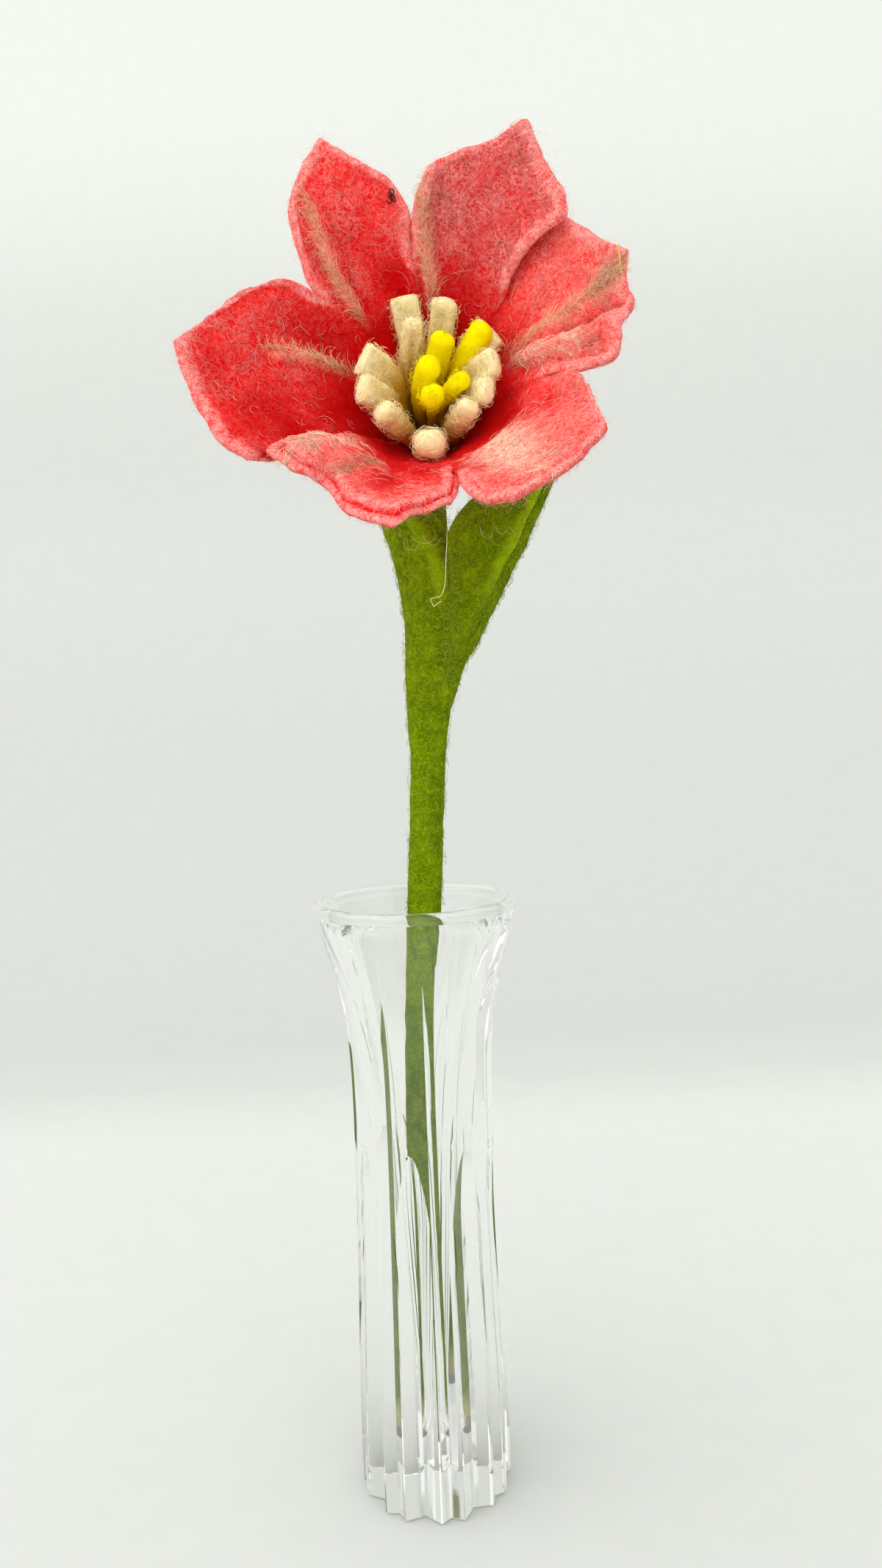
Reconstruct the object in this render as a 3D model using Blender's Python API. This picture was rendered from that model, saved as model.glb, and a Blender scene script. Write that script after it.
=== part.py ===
# Felted hibiscus standing in a pressed-glass bud vase.
# Millimetres in the design tables, metres in the meshes (MM converts).
# Origin: centre of the flat vase foot, +Z up, flower facing -Y.
import math
import bpy
import numpy as np

MM = 0.001
GAP = 0.32                 # clearance kept between neighbouring pieces

# ---------------------------------------------------------------- vase
VASE_HEIGHT = 200.0
LIP_RING = 31.3            # radius of the middle of the rounded lip
LIP_ROUND = 2.4            # half thickness of the lip
FACETS = 8                 # star points come in eight pairs
FLUTE_TURN = 10.6          # direction of the first narrow flute, degrees from the front
FLUTE_HALF = 8.3           # half width of a narrow flute, degrees
FLUTE_DEPTH = 2.3
PANEL_HALF = 22.5 - FLUTE_HALF
GROOVE_DEPTH = 3.9         # wide V grooves under the pointed arches
ARCH_TOP = 121.0
ARCH_SPRING = 98.0
FOOT_CHAMFER = 0.8
OUTER = [(0.0, 25.1), (6, 25.2), (30, 25.0), (45, 24.7), (65, 24.2), (95, 23.7), (113, 23.4),
         (132, 23.3), (152, 23.9), (161, 24.7), (168, 25.8), (177, 28.0), (184, 30.0),
         (190, 31.6), (194, 32.5), (196.4, 32.9)]
INNER = [(18.4, 0.0), (26, 6.7), (40, 7.5), (60, 8.8), (80, 9.8), (100, 10.8), (120, 11.8),
         (140, 13.3), (155, 15.4), (168, 18.4), (178, 21.6), (184, 24.0), (190, 26.5), (194.5, 28.1)]

# ---------------------------------------------------------------- stem
STEM = [  # height, middle x, middle y, radius
    (19.5, 0.0, 0.0, 2.4), (20.4, 0.0, 0.0, 3.7), (22.6, 0.0, 0.0, 5.0), (27, -0.1, 0.0, 5.45),
    (60, -0.6, 0.0, 5.5), (100, -0.9, 0.0, 5.5), (132, -0.6, 0.0, 5.4), (165, 0.9, 0.0, 5.5),
    (193, 2.9, 0.0, 5.55), (210, 3.8, 0.0, 5.6), (237, 5.7, 0.0, 5.6), (248, 6.2, 0.0, 5.8),
    (255, 6.6, 0.0, 6.4), (261, 7.0, 0.0, 7.1), (263.8, 7.3, 0.0, 7.4), (264.3, 7.4, 0.0, 7.0),
    (264.4, 7.4, 0.0, 3.7), (272, 8.2, 0.0, 3.3), (300, 9.6, -0.6, 3.0), (322, 10.3, -1.4, 2.9),
    (336.6, 10.8, -1.8, 2.9)]

# ---------------------------------------------------------------- calyx
CALYX = [  # height, left x, right x, half depth, middle y
    (262, -0.1, 14.3, 7.0, 0.0), (268, -0.1, 16.7, 7.9, 0.0), (276, -0.4, 19.3, 8.9, 0.0),
    (282, 0.0, 23.5, 10.2, -0.3), (290, 0.1, 27.7, 11.4, -0.7), (300, -0.7, 33.1, 13.0, -1.2),
    (306, -1.5, 36.2, 14.2, -1.5), (313, -3.1, 40.3, 15.7, -2.0), (320, -5.7, 43.5, 17.0, -2.3),
    (333, -10.5, 49.5, 19.0, -3.0), (350, -15.5, 55.0, 20.5, -3.5)]
CALYX_THICK = 2.8
CALYX_FOOT = 264.9
# edges of the two lobes, (direction round the calyx in degrees from the front, height)
LOBE_RIGHT = dict(
    start=[(35, CALYX_FOOT), (27, 272), (17, 281), (6, 290), (-2.4, 298), (-8, 306), (-11.4, 313.5),
           (-5.6, 319), (1.8, 323), (11.6, 326.6)],
    rim=[(11.6, 326.6), (30, 330), (56, 337), (80, 347), (108, 343), (138, 335), (164, 328)],
    tip=3,
    end=[(181, CALYX_FOOT), (182, 285), (182, 300), (180, 313), (173, 320), (164, 328)])
LOBE_LEFT = dict(
    start=[(181, CALYX_FOOT), (182, 285), (182, 300), (182, 313), (189, 321), (198, 330)],
    rim=[(198, 330), (222, 340), (250, 345), (280, 350), (310, 340), (332, 333), (348.2, 330)],
    tip=3,
    end=[(395, CALYX_FOOT), (387, 272), (377, 281), (366, 290), (357.6, 298), (352, 306), (348.6, 313.5),
         (348.0, 318), (348.2, 330)])

# ---------------------------------------------------------------- corolla
THROAT = (12.1, 5.0, 350.7)    # middle of the corolla base
TILT_UP = 20.0                 # the flower looks this far above the horizon
TURN = -5.0                    # and this far to the side
BASE_RADIUS = 10.0
FLARE_START = 24.0             # opening half angle at the base
FLARE_END = 62.0               # and at the free ends
FLARE_POWER = 0.75
FELT = 3.0                     # petal thickness
# Petal edges, each point: direction (degrees clockwise from the top), distance
# from the base along the funnel wall, lift towards the viewer.
PETALS = {
    "petal_upper_left": dict(
        start=[(-52, 0, 0), (-53.5, 30, 0), (-52.5, 52, 0), (-48.5, 60, 0), (-42.5, 70, 0)],
        rim=[(-42.5, 70, 0), (-37, 77, 0), (-24, 86, 1), (-17, 77, 0), (-9, 70, 0)], tip=2,
        end=[(-5, 0, 0), (-5, 30, 0), (-5, 50, 0), (-4, 60, 0), (-9, 70, 0)], cup=-3.0),
    "petal_upper_right": dict(
        start=[(-5, 0, 0), (-5, 30, 0), (-5, 50, 0), (-2, 62, 0), (3, 72, 0)],
        rim=[(3, 72, 0), (12, 76.5, 0), (21, 81.5, 0), (27, 88, 1), (32, 83, 0), (37, 79, 0), (46, 75, 1),
             (50.5, 71, 2)], tip=3,
        end=[(42, 0, 0), (42, 30, 0), (43, 52, 2), (45, 61, 2.5), (50.5, 71, 2)], cup=-2.5),
    "petal_right": dict(
        start=[(42, 0, 0), (42, 30, 0), (43.8, 50, -1), (47.2, 60, -2), (54, 68, -1)],
        rim=[(54, 68, -1), (62, 73, 0), (70, 78, 0), (75, 75, 0), (85, 73, 0), (96, 69.5, 0), (102, 66, 1)], tip=2,
        end=[(95, 0, 0), (95, 30, 0), (96.5, 45, 0), (101.5, 57, 0), (102, 66, 1)], cup=-3.5),
    "petal_lower_right": dict(
        start=[(95, 0, 0), (95, 30, 0), (97, 45, 0), (103.5, 57, 0.5), (110, 63, 1)],
        rim=[(110, 63, 1), (120, 70, 0), (127, 80, 0), (133, 79, 0), (145, 77.5, 0), (157, 77.5, 0)], tip=2,
        end=[(167, 0, 0), (165, 30, 0), (165.5, 48, 0), (166, 60, 0), (157, 77.5, 0)], cup=2.5),
    "petal_bottom": dict(
        start=[(167, 0, 0), (165, 30, 0), (166, 48, 0), (169, 60, 0), (172, 67, 0)],
        rim=[(172, 67, 0), (180, 76, 0), (188, 81, 0), (197, 76, 0), (205, 71, 0), (212, 66, 1), (220, 71, 1),
             (227, 72.5, 1.5)], tip=2,
        end=[(232, 0, 0), (231, 28, 0), (227.5, 51, 1), (226.5, 63, 1.5), (227, 72.5, 1.5)], cup=1.5),
    "petal_left": dict(
        start=[(232, 0, 0), (231, 28, 0), (228.5, 50, -1), (228, 64, -1.5), (230.5, 77, -1)],
        rim=[(230.5, 77, -1), (240, 80.5, 0), (253, 81.5, 0), (267, 85, 1), (277, 76.5, 0), (289, 69, 0)], tip=3,
        end=[(308, 0, 0), (306.5, 30, 0), (306, 52, 0.5), (302, 60, 0.5), (289, 69, 0)], cup=-4.0),
}

# ---------------------------------------------------------------- stamens
# Finger tips in the flower frame: direction, distance from the axis, distance
# along the axis, width, thickness, swing of the middle (direction, radius, along).
FRINGE_RING = 6.6
FRINGE_BAND = 4.5
FRINGE = [
    (-11, 26.4, 35.2, 8.4, 4.4, 0.0), (15, 26.0, 35.6, 8.0, 4.4, 0.0), (62, 25.0, 32.0, 9.4, 4.6, 0.0),
    (90, 20.6, 38.0, 8.2, 4.6, 0.0), (117, 20.6, 38.0, 7.6, 4.8, 0.0), (139, 19.8, 38.5, 7.2, 5.2, 0.0),
    (178, 24.0, 35.0, 7.4, 6.4, 0.0), (222, 19.0, 38.0, 7.6, 5.4, 0.0), (252, 19.6, 38.0, 7.8, 4.6, 0.0),
    (281, 18.4, 38.5, 9.4, 4.4, 0.0), (340, 13.6, 41.0, 7.0, 4.4, 0.0)]
PISTIL_RING = 2.7
PISTIL_BAND = 4.0
PISTIL = [  # tip direction, radius, along, diameter, middle direction, middle radius
    (280, -2.2, 39.6, 6.4, 272, 5.2), (30, 12.4, 37.6, 6.0, 350, 5.0), (48, 21.0, 35.4, 6.5, 54, 6.6),
    (122, 13.9, 37.0, 5.8, 124, 5.4), (167, 11.0, 37.8, 6.4, 196, 5.2)]

COLOURS = {
    "glass": ((0.93, 0.96, 0.95, 1.0), 0.02),
    "green_felt": ((0.19, 0.34, 0.01, 1.0), 0.95),
    "red_felt": ((0.62, 0.05, 0.07, 1.0), 0.95),
    "cream_felt": ((0.86, 0.76, 0.45, 1.0), 0.95),
    "yellow_felt": ((0.95, 0.80, 0.0, 1.0), 0.95),
}


# ---------------------------------------------------------------- helpers
def interp(table, x, col):
    return np.interp(x, [row[0] for row in table], [row[col] for row in table])


def smooth_curve(points, count):
    """Catmull-Rom curve through the points, evenly spread by length."""
    p = np.array(points, float)
    if len(p) == 2:
        w = np.linspace(0, 1, count)[:, None]
        return p[0] * (1 - w) + p[1] * w
    ext = np.vstack([2 * p[0] - p[1], p, 2 * p[-1] - p[-2]])
    fine = []
    for i in range(1, len(ext) - 2):
        a, b, c, d = ext[i - 1], ext[i], ext[i + 1], ext[i + 2]
        for t in np.linspace(0, 1, 25, endpoint=False):
            fine.append(0.5 * (2 * b + (c - a) * t + (2 * a - 5 * b + 4 * c - d) * t * t
                               + (3 * b - a - 3 * c + d) * t ** 3))
    fine.append(ext[-2])
    fine = np.array(fine)
    step = np.linalg.norm(np.diff(fine[:, :2], axis=0), axis=1)
    run = np.concatenate([[0], np.cumsum(step)])
    at = np.linspace(0, run[-1], count)
    return np.stack([np.interp(at, run, fine[:, k]) for k in range(p.shape[1])], 1)


def sample(curve, w):
    """Point at fraction w of an evenly sampled curve."""
    x = np.linspace(0, 1, len(curve))
    return np.stack([np.interp(w, x, curve[:, k]) for k in range(curve.shape[1])], -1)


def patch(spec, us, vs):
    """Blend four edge curves into a grid (u across, v from base to rim)."""
    start = smooth_curve(spec["start"], 120)
    end = smooth_curve(spec["end"], 120)
    tip = spec["tip"]
    rim_a = smooth_curve(spec["rim"][:tip + 1], 80)
    rim_b = smooth_curve(spec["rim"][tip:], 80)
    grid = np.zeros((len(us), len(vs), start.shape[1]))
    b0, b1, r0, r1 = start[0], end[0], start[-1], end[-1]
    for i, u in enumerate(us):
        base = b0 * (1 - u) + b1 * u
        rim = sample(rim_a, 2 * u) if u <= 0.5 else sample(rim_b, 2 * u - 1)
        for j, v in enumerate(vs):
            grid[i, j] = ((1 - v) * base + v * rim + (1 - u) * sample(start, v) + u * sample(end, v)
                          - ((1 - u) * (1 - v) * b0 + u * (1 - v) * b1 + (1 - u) * v * r0 + u * v * r1))
    return grid


def border_steps(n, edge):
    return np.concatenate([[0, edge], np.linspace(edge, 1 - edge, n + 1)[1:-1], [1 - edge, 1]])


def mesh_object(name, verts, faces, colour):
    mesh = bpy.data.meshes.new(name)
    mesh.from_pydata([tuple(float(c) * MM for c in v) for v in verts], [], [tuple(f) for f in faces])
    mesh.validate()
    import bmesh
    bm = bmesh.new()
    bm.from_mesh(mesh)
    bmesh.ops.recalc_face_normals(bm, faces=bm.faces)
    bmesh.ops.triangulate(bm, faces=bm.faces)
    if bm.calc_volume(signed=True) < 0:
        bmesh.ops.reverse_faces(bm, faces=bm.faces)
    bm.to_mesh(mesh)
    bm.free()
    for poly in mesh.polygons:
        poly.use_smooth = True
    obj = bpy.data.objects.new(name, mesh)
    bpy.context.scene.collection.objects.link(obj)
    rgba, rough = COLOURS[colour]
    mat = bpy.data.materials.new(name + "_" + colour)
    mat.use_nodes = True
    shader = mat.node_tree.nodes["Principled BSDF"]
    shader.inputs["Base Color"].default_value = rgba
    shader.inputs["Roughness"].default_value = rough
    shader.inputs["Metallic"].default_value = 0.0
    if colour == "glass":
        shader.inputs["Transmission Weight"].default_value = 1.0
        shader.inputs["IOR"].default_value = 1.5
    mat.diffuse_color = rgba
    mesh.materials.append(mat)
    return obj


def solid_from_grid(front, back, cells):
    """Close a sheet: front and back grids, and a wall round the used cells."""
    ni, nj = front.shape[:2]
    verts = list(front.reshape(-1, 3)) + list(back.reshape(-1, 3))
    off = ni * nj
    faces = []
    count = {}

    def idx(i, j):
        return i * nj + j
    for i in range(ni - 1):
        for j in range(nj - 1):
            if not cells[i, j]:
                continue
            q = [idx(i, j), idx(i + 1, j), idx(i + 1, j + 1), idx(i, j + 1)]
            faces.append(q)
            faces.append([k + off for k in reversed(q)])
            for a, b in zip(q, q[1:] + q[:1]):
                count[(a, b)] = count.get((a, b), 0) + 1
    for (a, b) in list(count):
        if (b, a) not in count:
            faces.append([b, a, a + off, b + off])
    used = sorted({k for fc in faces for k in fc})
    remap = {k: n for n, k in enumerate(used)}
    return [verts[k] for k in used], [[remap[k] for k in fc] for fc in faces]


def grid_normals(grid):
    du = np.gradient(grid, axis=0)
    dv = np.gradient(grid, axis=1)
    n = np.cross(du, dv)
    return n / np.maximum(np.linalg.norm(n, axis=2), 1e-9)[:, :, None]


def loft(rings, cap_first=True, cap_last=True):
    n = len(rings[0])
    verts = [v for ring in rings for v in ring]
    faces = []
    for r in range(len(rings) - 1):
        for k in range(n):
            a, b = r * n + k, r * n + (k + 1) % n
            faces.append([a, b, b + n, a + n])
    if cap_first:
        verts.append(np.mean(rings[0], axis=0))
        c = len(verts) - 1
        faces += [[(k + 1) % n, k, c] for k in range(n)]
    if cap_last:
        verts.append(np.mean(rings[-1], axis=0))
        c = len(verts) - 1
        o = (len(rings) - 1) * n
        faces += [[o + k, o + (k + 1) % n, c] for k in range(n)]
    return verts, faces


# ---------------------------------------------------------------- vase
def groove_share(z):
    """Width share of the wide V groove at this height (pointed arch)."""
    if z <= ARCH_SPRING:
        return 0.93
    if z >= ARCH_TOP:
        return 0.0
    t = (z - ARCH_SPRING) / (ARCH_TOP - ARCH_SPRING)
    return 0.93 * math.sqrt(max(0.0, 1 - t ** 1.6)) * (1 - 0.25 * t)


def vase_ring(z, radius, inner=False):
    share = groove_share(z)
    flute = FLUTE_DEPTH * float(np.clip((196.0 - z) / 46.0, 0, 1)) ** 0.8
    ring = []
    for k in range(FACETS):
        centre = FLUTE_TURN + 45.0 * k
        mid = centre + 22.5
        w = max(share, 0.04) if z <= ARCH_TOP else 0.42
        steps = [(centre, "flute"), (centre + FLUTE_HALF, "ridge"), (mid - PANEL_HALF * w, "side"),
                 (mid, "groove"), (mid + PANEL_HALF * w, "side"), (mid + PANEL_HALF, "ridge")]
        for angle, kind in steps:
            r = radius
            a = math.radians(angle)
            if not inner:
                if kind == "flute":
                    r = radius - flute
                elif kind == "groove" and z < ARCH_TOP:
                    r = radius - GROOVE_DEPTH * min(1.0, share / 0.93) ** 1.0
            ring.append(np.array([r * math.sin(a), -r * math.cos(a), z]))
    return ring


def build_vase():
    rings = [vase_ring(0.0, OUTER[0][1] - FOOT_CHAMFER)]
    for z in (FOOT_CHAMFER, 8, 40, 70, ARCH_SPRING, 104, 110, 115, 118.5, 120.6, 127, 134, 143, 152, 160,
              167, 173, 178, 183, 187.5, 191.5, 194.5, 196.3):
        rings.append(vase_ring(z, float(interp(OUTER, z, 1))))
    top = VASE_HEIGHT - LIP_ROUND
    for deg in (-20, 15, 50, 90, 130, 165, 200):
        a = math.radians(deg)
        rings.append(vase_ring(top + LIP_ROUND * math.sin(a), LIP_RING + LIP_ROUND * math.cos(a), True))
    for z in (192.5, 188, 183, 177, 168, 155, 140, 120, 95, 70, 45, 27):
        rings.append(vase_ring(z, float(interp(INNER, z, 1)), True))
    for share in (0.9, 0.7, 0.4):
        rings.append(vase_ring(18.4 + 8.0 * (1 - math.sqrt(1 - share ** 2)), 6.75 * share, True))
    # the bowl bottom is flat in the middle under the stem end
    verts, faces = loft(rings)
    return mesh_object("vase", verts, faces, "glass")


# ---------------------------------------------------------------- stem and calyx
def build_stem():
    rings = []
    heights = [row[0] for row in STEM]
    extra = [45, 80, 116, 150, 180, 223, 286, 311]
    for z in sorted(heights + extra):
        x, y, r = (float(interp(STEM, z, c)) for c in (1, 2, 3))
        rings.append([np.array([x + r * math.sin(a), y - r * math.cos(a), z])
                      for a in np.linspace(0, 2 * math.pi, 16, endpoint=False)])
    verts, faces = loft(rings)
    return mesh_object("stem", verts, faces, "green_felt")


def calyx_point(deg, z):
    lo, hi, half, mid = (interp(CALYX, z, c) for c in (1, 2, 3, 4))
    a = np.radians(deg)
    x = (lo + hi) / 2 + (hi - lo) / 2 * np.sin(a)
    return np.stack([x, mid - half * np.cos(a), z], -1)


def build_lobe(name, spec, nu, nv):
    us, vs = border_steps(nu, 0.02), border_steps(nv, 0.025)
    g = patch(spec, us, vs)
    z = g[..., 1]
    # clearance along the seams, as an angle
    lo, hi = interp(CALYX, z, 1), interp(CALYX, z, 2)
    slack = np.degrees(0.5 * GAP / ((hi - lo) / 2)) * 1.6
    side = (1 - 2 * us)[:, None] ** 3
    outer = calyx_point(g[..., 0] + slack * side, z)
    n = grid_normals(outer)
    centre = calyx_point(np.zeros_like(z), z) * 0 + np.stack([(lo + hi) / 2, interp(CALYX, z, 4), z], -1)
    flip = np.sign(((outer - centre) * n).sum(2))
    n = n * flip[:, :, None]
    thick = np.full(z.shape, CALYX_THICK)
    n[:, 0, 2] = 0.0
    thick[:, -1] *= 0.55
    inset = np.zeros(z.shape)
    inset[:, -1] = CALYX_THICK * 0.2
    front = outer - n * inset[..., None]
    back = front - n * thick[..., None]
    back[:, 0, 2] = z[:, 0]
    cells = np.ones((len(us) - 1, len(vs) - 1), bool)
    verts, faces = solid_from_grid(front, back, cells)
    return mesh_object(name, verts, faces, "green_felt")


# ---------------------------------------------------------------- corolla
def flower_axes():
    el, az = math.radians(TILT_UP), math.radians(TURN)
    axis = np.array([math.sin(az) * math.cos(el), -math.cos(az) * math.cos(el), math.sin(el)])
    up = np.array([0, 0, 1.0]) - axis * axis[2]
    up /= np.linalg.norm(up)
    right = np.cross(up, axis)
    if right[0] < 0:
        right = -right
    return axis, up, right


AXIS, UP, RIGHT = flower_axes()
RUN = np.linspace(0, 140, 561)
OPEN = np.radians(FLARE_START + (FLARE_END - FLARE_START) * np.minimum(RUN / 95, 1.25) ** FLARE_POWER)
RHO = BASE_RADIUS + np.concatenate([[0], np.cumsum(np.sin(OPEN[:-1]) * (RUN[1] - RUN[0]))])
ALONG = np.concatenate([[0], np.cumsum(np.cos(OPEN[:-1]) * (RUN[1] - RUN[0]))])


def spoke(deg):
    a = np.radians(deg)
    return np.sin(a)[..., None] * RIGHT + np.cos(a)[..., None] * UP


def flower_point(deg, radius, along):
    deg = np.asarray(deg, float)
    return (np.array(THROAT) + np.asarray(radius)[..., None] * spoke(deg)
            + np.asarray(along)[..., None] * AXIS)


def funnel_point(deg, run, lift):
    rho, along, a = np.interp(run, RUN, RHO), np.interp(run, RUN, ALONG), np.interp(run, RUN, OPEN)
    inward = -np.cos(a)[..., None] * spoke(deg) + np.sin(a)[..., None] * AXIS
    return flower_point(deg, rho, along) + lift[..., None] * inward, inward


def build_petal(name, spec, nu, nv):
    us, vs = border_steps(nu, 0.022), border_steps(nv, 0.018)
    g = patch(spec, us, vs)
    deg, run, lift = g[..., 0], g[..., 1], g[..., 2]
    slack = np.degrees(0.5 * GAP * 1.25 / np.interp(run, RUN, RHO))
    deg = deg + slack * (1 - 2 * us)[:, None] ** 3
    cup = spec["cup"] * np.sin(math.pi * us)[:, None] ** 1.2 * (vs ** 1.5)[None, :] * (1 - 0.35 * vs[None, :])
    mid, inward = funnel_point(deg, run, lift + cup)
    n = grid_normals(mid)
    n *= np.sign((n * inward).sum(2))[:, :, None]
    thick = np.full(run.shape, FELT)
    free = np.clip((vs - 0.55) / 0.2, 0, 1)
    for i in (0, -1):
        thick[i, :] *= 1 - 0.42 * free
    thick[:, -1] *= 0.58
    front = mid + n * thick[..., None] / 2
    back = mid - n * thick[..., None] / 2
    # the first row is cut square to the axis so that the base stays flat
    cells = np.ones((len(us) - 1, len(vs) - 1), bool)
    verts, faces = solid_from_grid(front, back, cells)
    return mesh_object(name, verts, faces, "red_felt")


def build_base():
    """Round felt pad that closes the back of the corolla."""
    rings = []
    for along, r in ((-5.6, 3.0), (-5.2, 6.0), (-4.2, 8.6), (-2.8, 10.6), (-1.7, 11.0), (-1.35, 10.4)):
        rings.append([flower_point(d, r, along) for d in np.linspace(0, 360, 16, endpoint=False)])
    verts, faces = loft(rings)
    return mesh_object("corolla_base", verts, faces, "green_felt")


# ---------------------------------------------------------------- stamens and pistil
def finger_frames(root_deg, root_r, mid, tip, rows):
    p0 = flower_point(root_deg, root_r, -0.6)
    p1 = flower_point(*mid)
    p2 = flower_point(*tip)
    out = []
    for t in rows:
        c = (1 - t) ** 2 * p0 + 2 * t * (1 - t) * p1 + t * t * p2
        d = 2 * (1 - t) * (p1 - p0) + 2 * t * (p2 - p1)
        out.append((c, d / np.linalg.norm(d)))
    return out


def build_comb(name, ring, fingers, colour, band_rows, rows, first, spacing, root_width, root_thick,
               profile, thin):
    ncol = len(profile)
    n = len(fingers)
    front = np.zeros((n * ncol, len(rows), 3))
    back = np.zeros_like(front)
    for k, fg in enumerate(fingers):
        root = first + spacing * k
        tip_deg = fg[0]
        while tip_deg - root > 180:
            tip_deg -= 360
        while tip_deg - root < -180:
            tip_deg += 360
        width, depth = fg[3], fg[4]
        mid = fg[5]
        frames = finger_frames(root, ring, mid, (tip_deg, fg[1], fg[2]), rows)
        mid_deg = mid[0]
        for j, (t, (c, d)) in enumerate(zip(rows, frames)):
            deg = root + (tip_deg - root) * t * t if len(fg) < 7 else root
            out = spoke(np.array(float(deg)))
            side = np.cross(out, d)
            side /= np.linalg.norm(side)
            ref = spoke(np.array(float(deg) + 90.0))
            if side @ ref < 0:
                side = -side
            nrm = np.cross(side, d)
            if nrm @ out > 0:
                nrm = -nrm
            grow = min(1.0, t / 0.62)
            grow = grow * grow * (3 - 2 * grow)
            w = root_width + (width - root_width) * grow
            th = root_thick + (depth - root_thick) * grow
            if j == len(rows) - 1:
                w *= 0.86
            for m, s in enumerate(profile):
                flat = 1.0 if j <= band_rows else thin[m]
                if j == len(rows) - 1:
                    flat *= 0.62
                if j <= band_rows:
                    # the joined band follows the ring
                    a = root + math.degrees(0.5 * w * s / ring)
                    base = c + ring * (spoke(np.array(a)) - spoke(np.array(float(root))))
                    o = spoke(np.array(a))
                    front[k * ncol + m, j] = base - o * th / 2
                    back[k * ncol + m, j] = base + o * th / 2
                else:
                    front[k * ncol + m, j] = c + side * (0.5 * w * s) + nrm * (th * flat / 2)
                    back[k * ncol + m, j] = c + side * (0.5 * w * s) - nrm * (th * flat / 2)
    cells = np.zeros((n * ncol - 1, len(rows) - 1), bool)
    for i in range(n * ncol - 1):
        same = (i // ncol) == ((i + 1) // ncol)
        for j in range(len(rows) - 1):
            cells[i, j] = same or j < band_rows
    verts, faces = solid_from_grid(front, back, cells)
    return mesh_object(name, verts, faces, colour)


def build_fringe():
    fingers = []
    first, spacing = -14.0, 32.2
    for k, (deg, r, along, w, th, _) in enumerate(FRINGE):
        root = first + spacing * k
        mid = (root, FRINGE_RING + 5.9, 17.0)
        fingers.append((deg, r, along, w, th, mid))
    rows = (0.0, 0.06, 0.12, 0.24, 0.38, 0.55, 0.72, 0.88, 0.975, 1.0)
    return build_comb("stamen_fringe", FRINGE_RING, fingers, "cream_felt", 2, rows, first, spacing,
                      3.0, 2.6, (-1, -0.62, 0, 0.62, 1), (0.5, 1, 1, 1, 0.5))


def build_pistil():
    fingers = []
    first, spacing = -86.0, 70.0
    for deg, r, along, dia, mdeg, mr in PISTIL:
        fingers.append((deg, r, along, dia, dia * 0.92, (mdeg, mr, 21.0)))
    rows = (0.0, 0.06, 0.12, 0.24, 0.38, 0.55, 0.72, 0.88, 0.965, 1.0)
    return build_comb("pistil", PISTIL_RING, fingers, "yellow_felt", 2, rows, first, spacing,
                      2.5, 2.2, (-1, -0.62, 0, 0.62, 1), (0.32, 0.85, 1, 0.85, 0.32))


def main():
    for obj in list(bpy.data.objects):
        bpy.data.objects.remove(obj, do_unlink=True)
    build_vase()
    build_stem()
    build_lobe("calyx_left", LOBE_LEFT, 14, 12)
    build_lobe("calyx_right", LOBE_RIGHT, 12, 12)
    build_base()
    for name, spec in PETALS.items():
        build_petal(name, spec, 14, 12)
    build_fringe()
    build_pistil()


main()
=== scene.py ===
import math
import bpy
import numpy as np
from mathutils import Matrix, Vector
from mathutils.bvhtree import BVHTree


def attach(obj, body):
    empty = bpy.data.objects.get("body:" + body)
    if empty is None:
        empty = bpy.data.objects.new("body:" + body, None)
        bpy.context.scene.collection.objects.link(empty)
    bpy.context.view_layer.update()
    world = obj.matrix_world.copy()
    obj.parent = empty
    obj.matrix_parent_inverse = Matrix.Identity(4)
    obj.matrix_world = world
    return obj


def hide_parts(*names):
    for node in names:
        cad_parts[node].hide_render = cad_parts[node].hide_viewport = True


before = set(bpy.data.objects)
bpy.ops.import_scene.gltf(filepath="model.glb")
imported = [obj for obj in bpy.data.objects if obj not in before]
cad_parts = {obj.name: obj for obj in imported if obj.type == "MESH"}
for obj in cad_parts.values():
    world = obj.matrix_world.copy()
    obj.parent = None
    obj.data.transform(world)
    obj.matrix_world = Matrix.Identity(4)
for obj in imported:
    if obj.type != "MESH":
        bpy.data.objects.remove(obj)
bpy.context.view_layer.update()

# Felted-wool hibiscus standing in a pressed-glass bud vase.
# Lengths are written in millimetres and turned into metres when a mesh is made.
MM = 0.001
SHARE = 1.0


# ================================================================ colours
def lin(text):
    """Linear colour from a six-digit screen colour."""
    out = []
    for k in (0, 2, 4):
        c = int(text[k:k + 2], 16) / 255.0
        out.append(c / 12.92 if c <= 0.04045 else ((c + 0.055) / 1.055) ** 2.4)
    return np.array(out)


RED_DEEP = np.array([0.80, 0.003, 0.006])
RED_THROAT = np.array([0.76, 0.003, 0.003])
RED_MID = np.array([0.99, 0.020, 0.022])
RED_PALE = np.array([1.00, 0.200, 0.165])
# lighter coral of the free rim: partly the paler cut edge of the felt, partly painted glow of light through the thin
# edge
RED_RIM_GLOW = np.array([1.00, 0.380, 0.350])
RED_CORE = np.array([0.74, 0.003, 0.010])
RED_DULL = np.array([0.72, 0.085, 0.088])
RED_SHADOW = np.array([0.46, 0.001, 0.002])
FIBRE_LIGHT = np.array([1.00, 0.480, 0.440])
SALMON = np.array([1.00, 0.480, 0.350])
CREAM = np.array([1.00, 0.89, 0.52])
CREAM_SHADE = np.array([0.78, 0.48, 0.02])
CREAM_ROOT_SHADE = np.array([0.50, 0.27, 0.002])
YELLOW = np.array([1.00, 0.89, 0.0])
YELLOW_SHADE = np.array([1.00, 0.66, 0.0])
GREEN_DEEP = np.array([0.068, 0.126, 0.0])
GREEN = np.array([0.122, 0.214, 0.0])
GREEN_PALE = np.array([0.360, 0.500, 0.006])
GREEN_LIGHT = np.array([0.50, 0.62, 0.05])
STEM_END = np.array([0.98, 0.90, 0.66])


# ================================================================ helpers
def mix(a, b, w):
    w = np.asarray(w)[..., None]
    return a * (1 - w) + b * w


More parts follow.
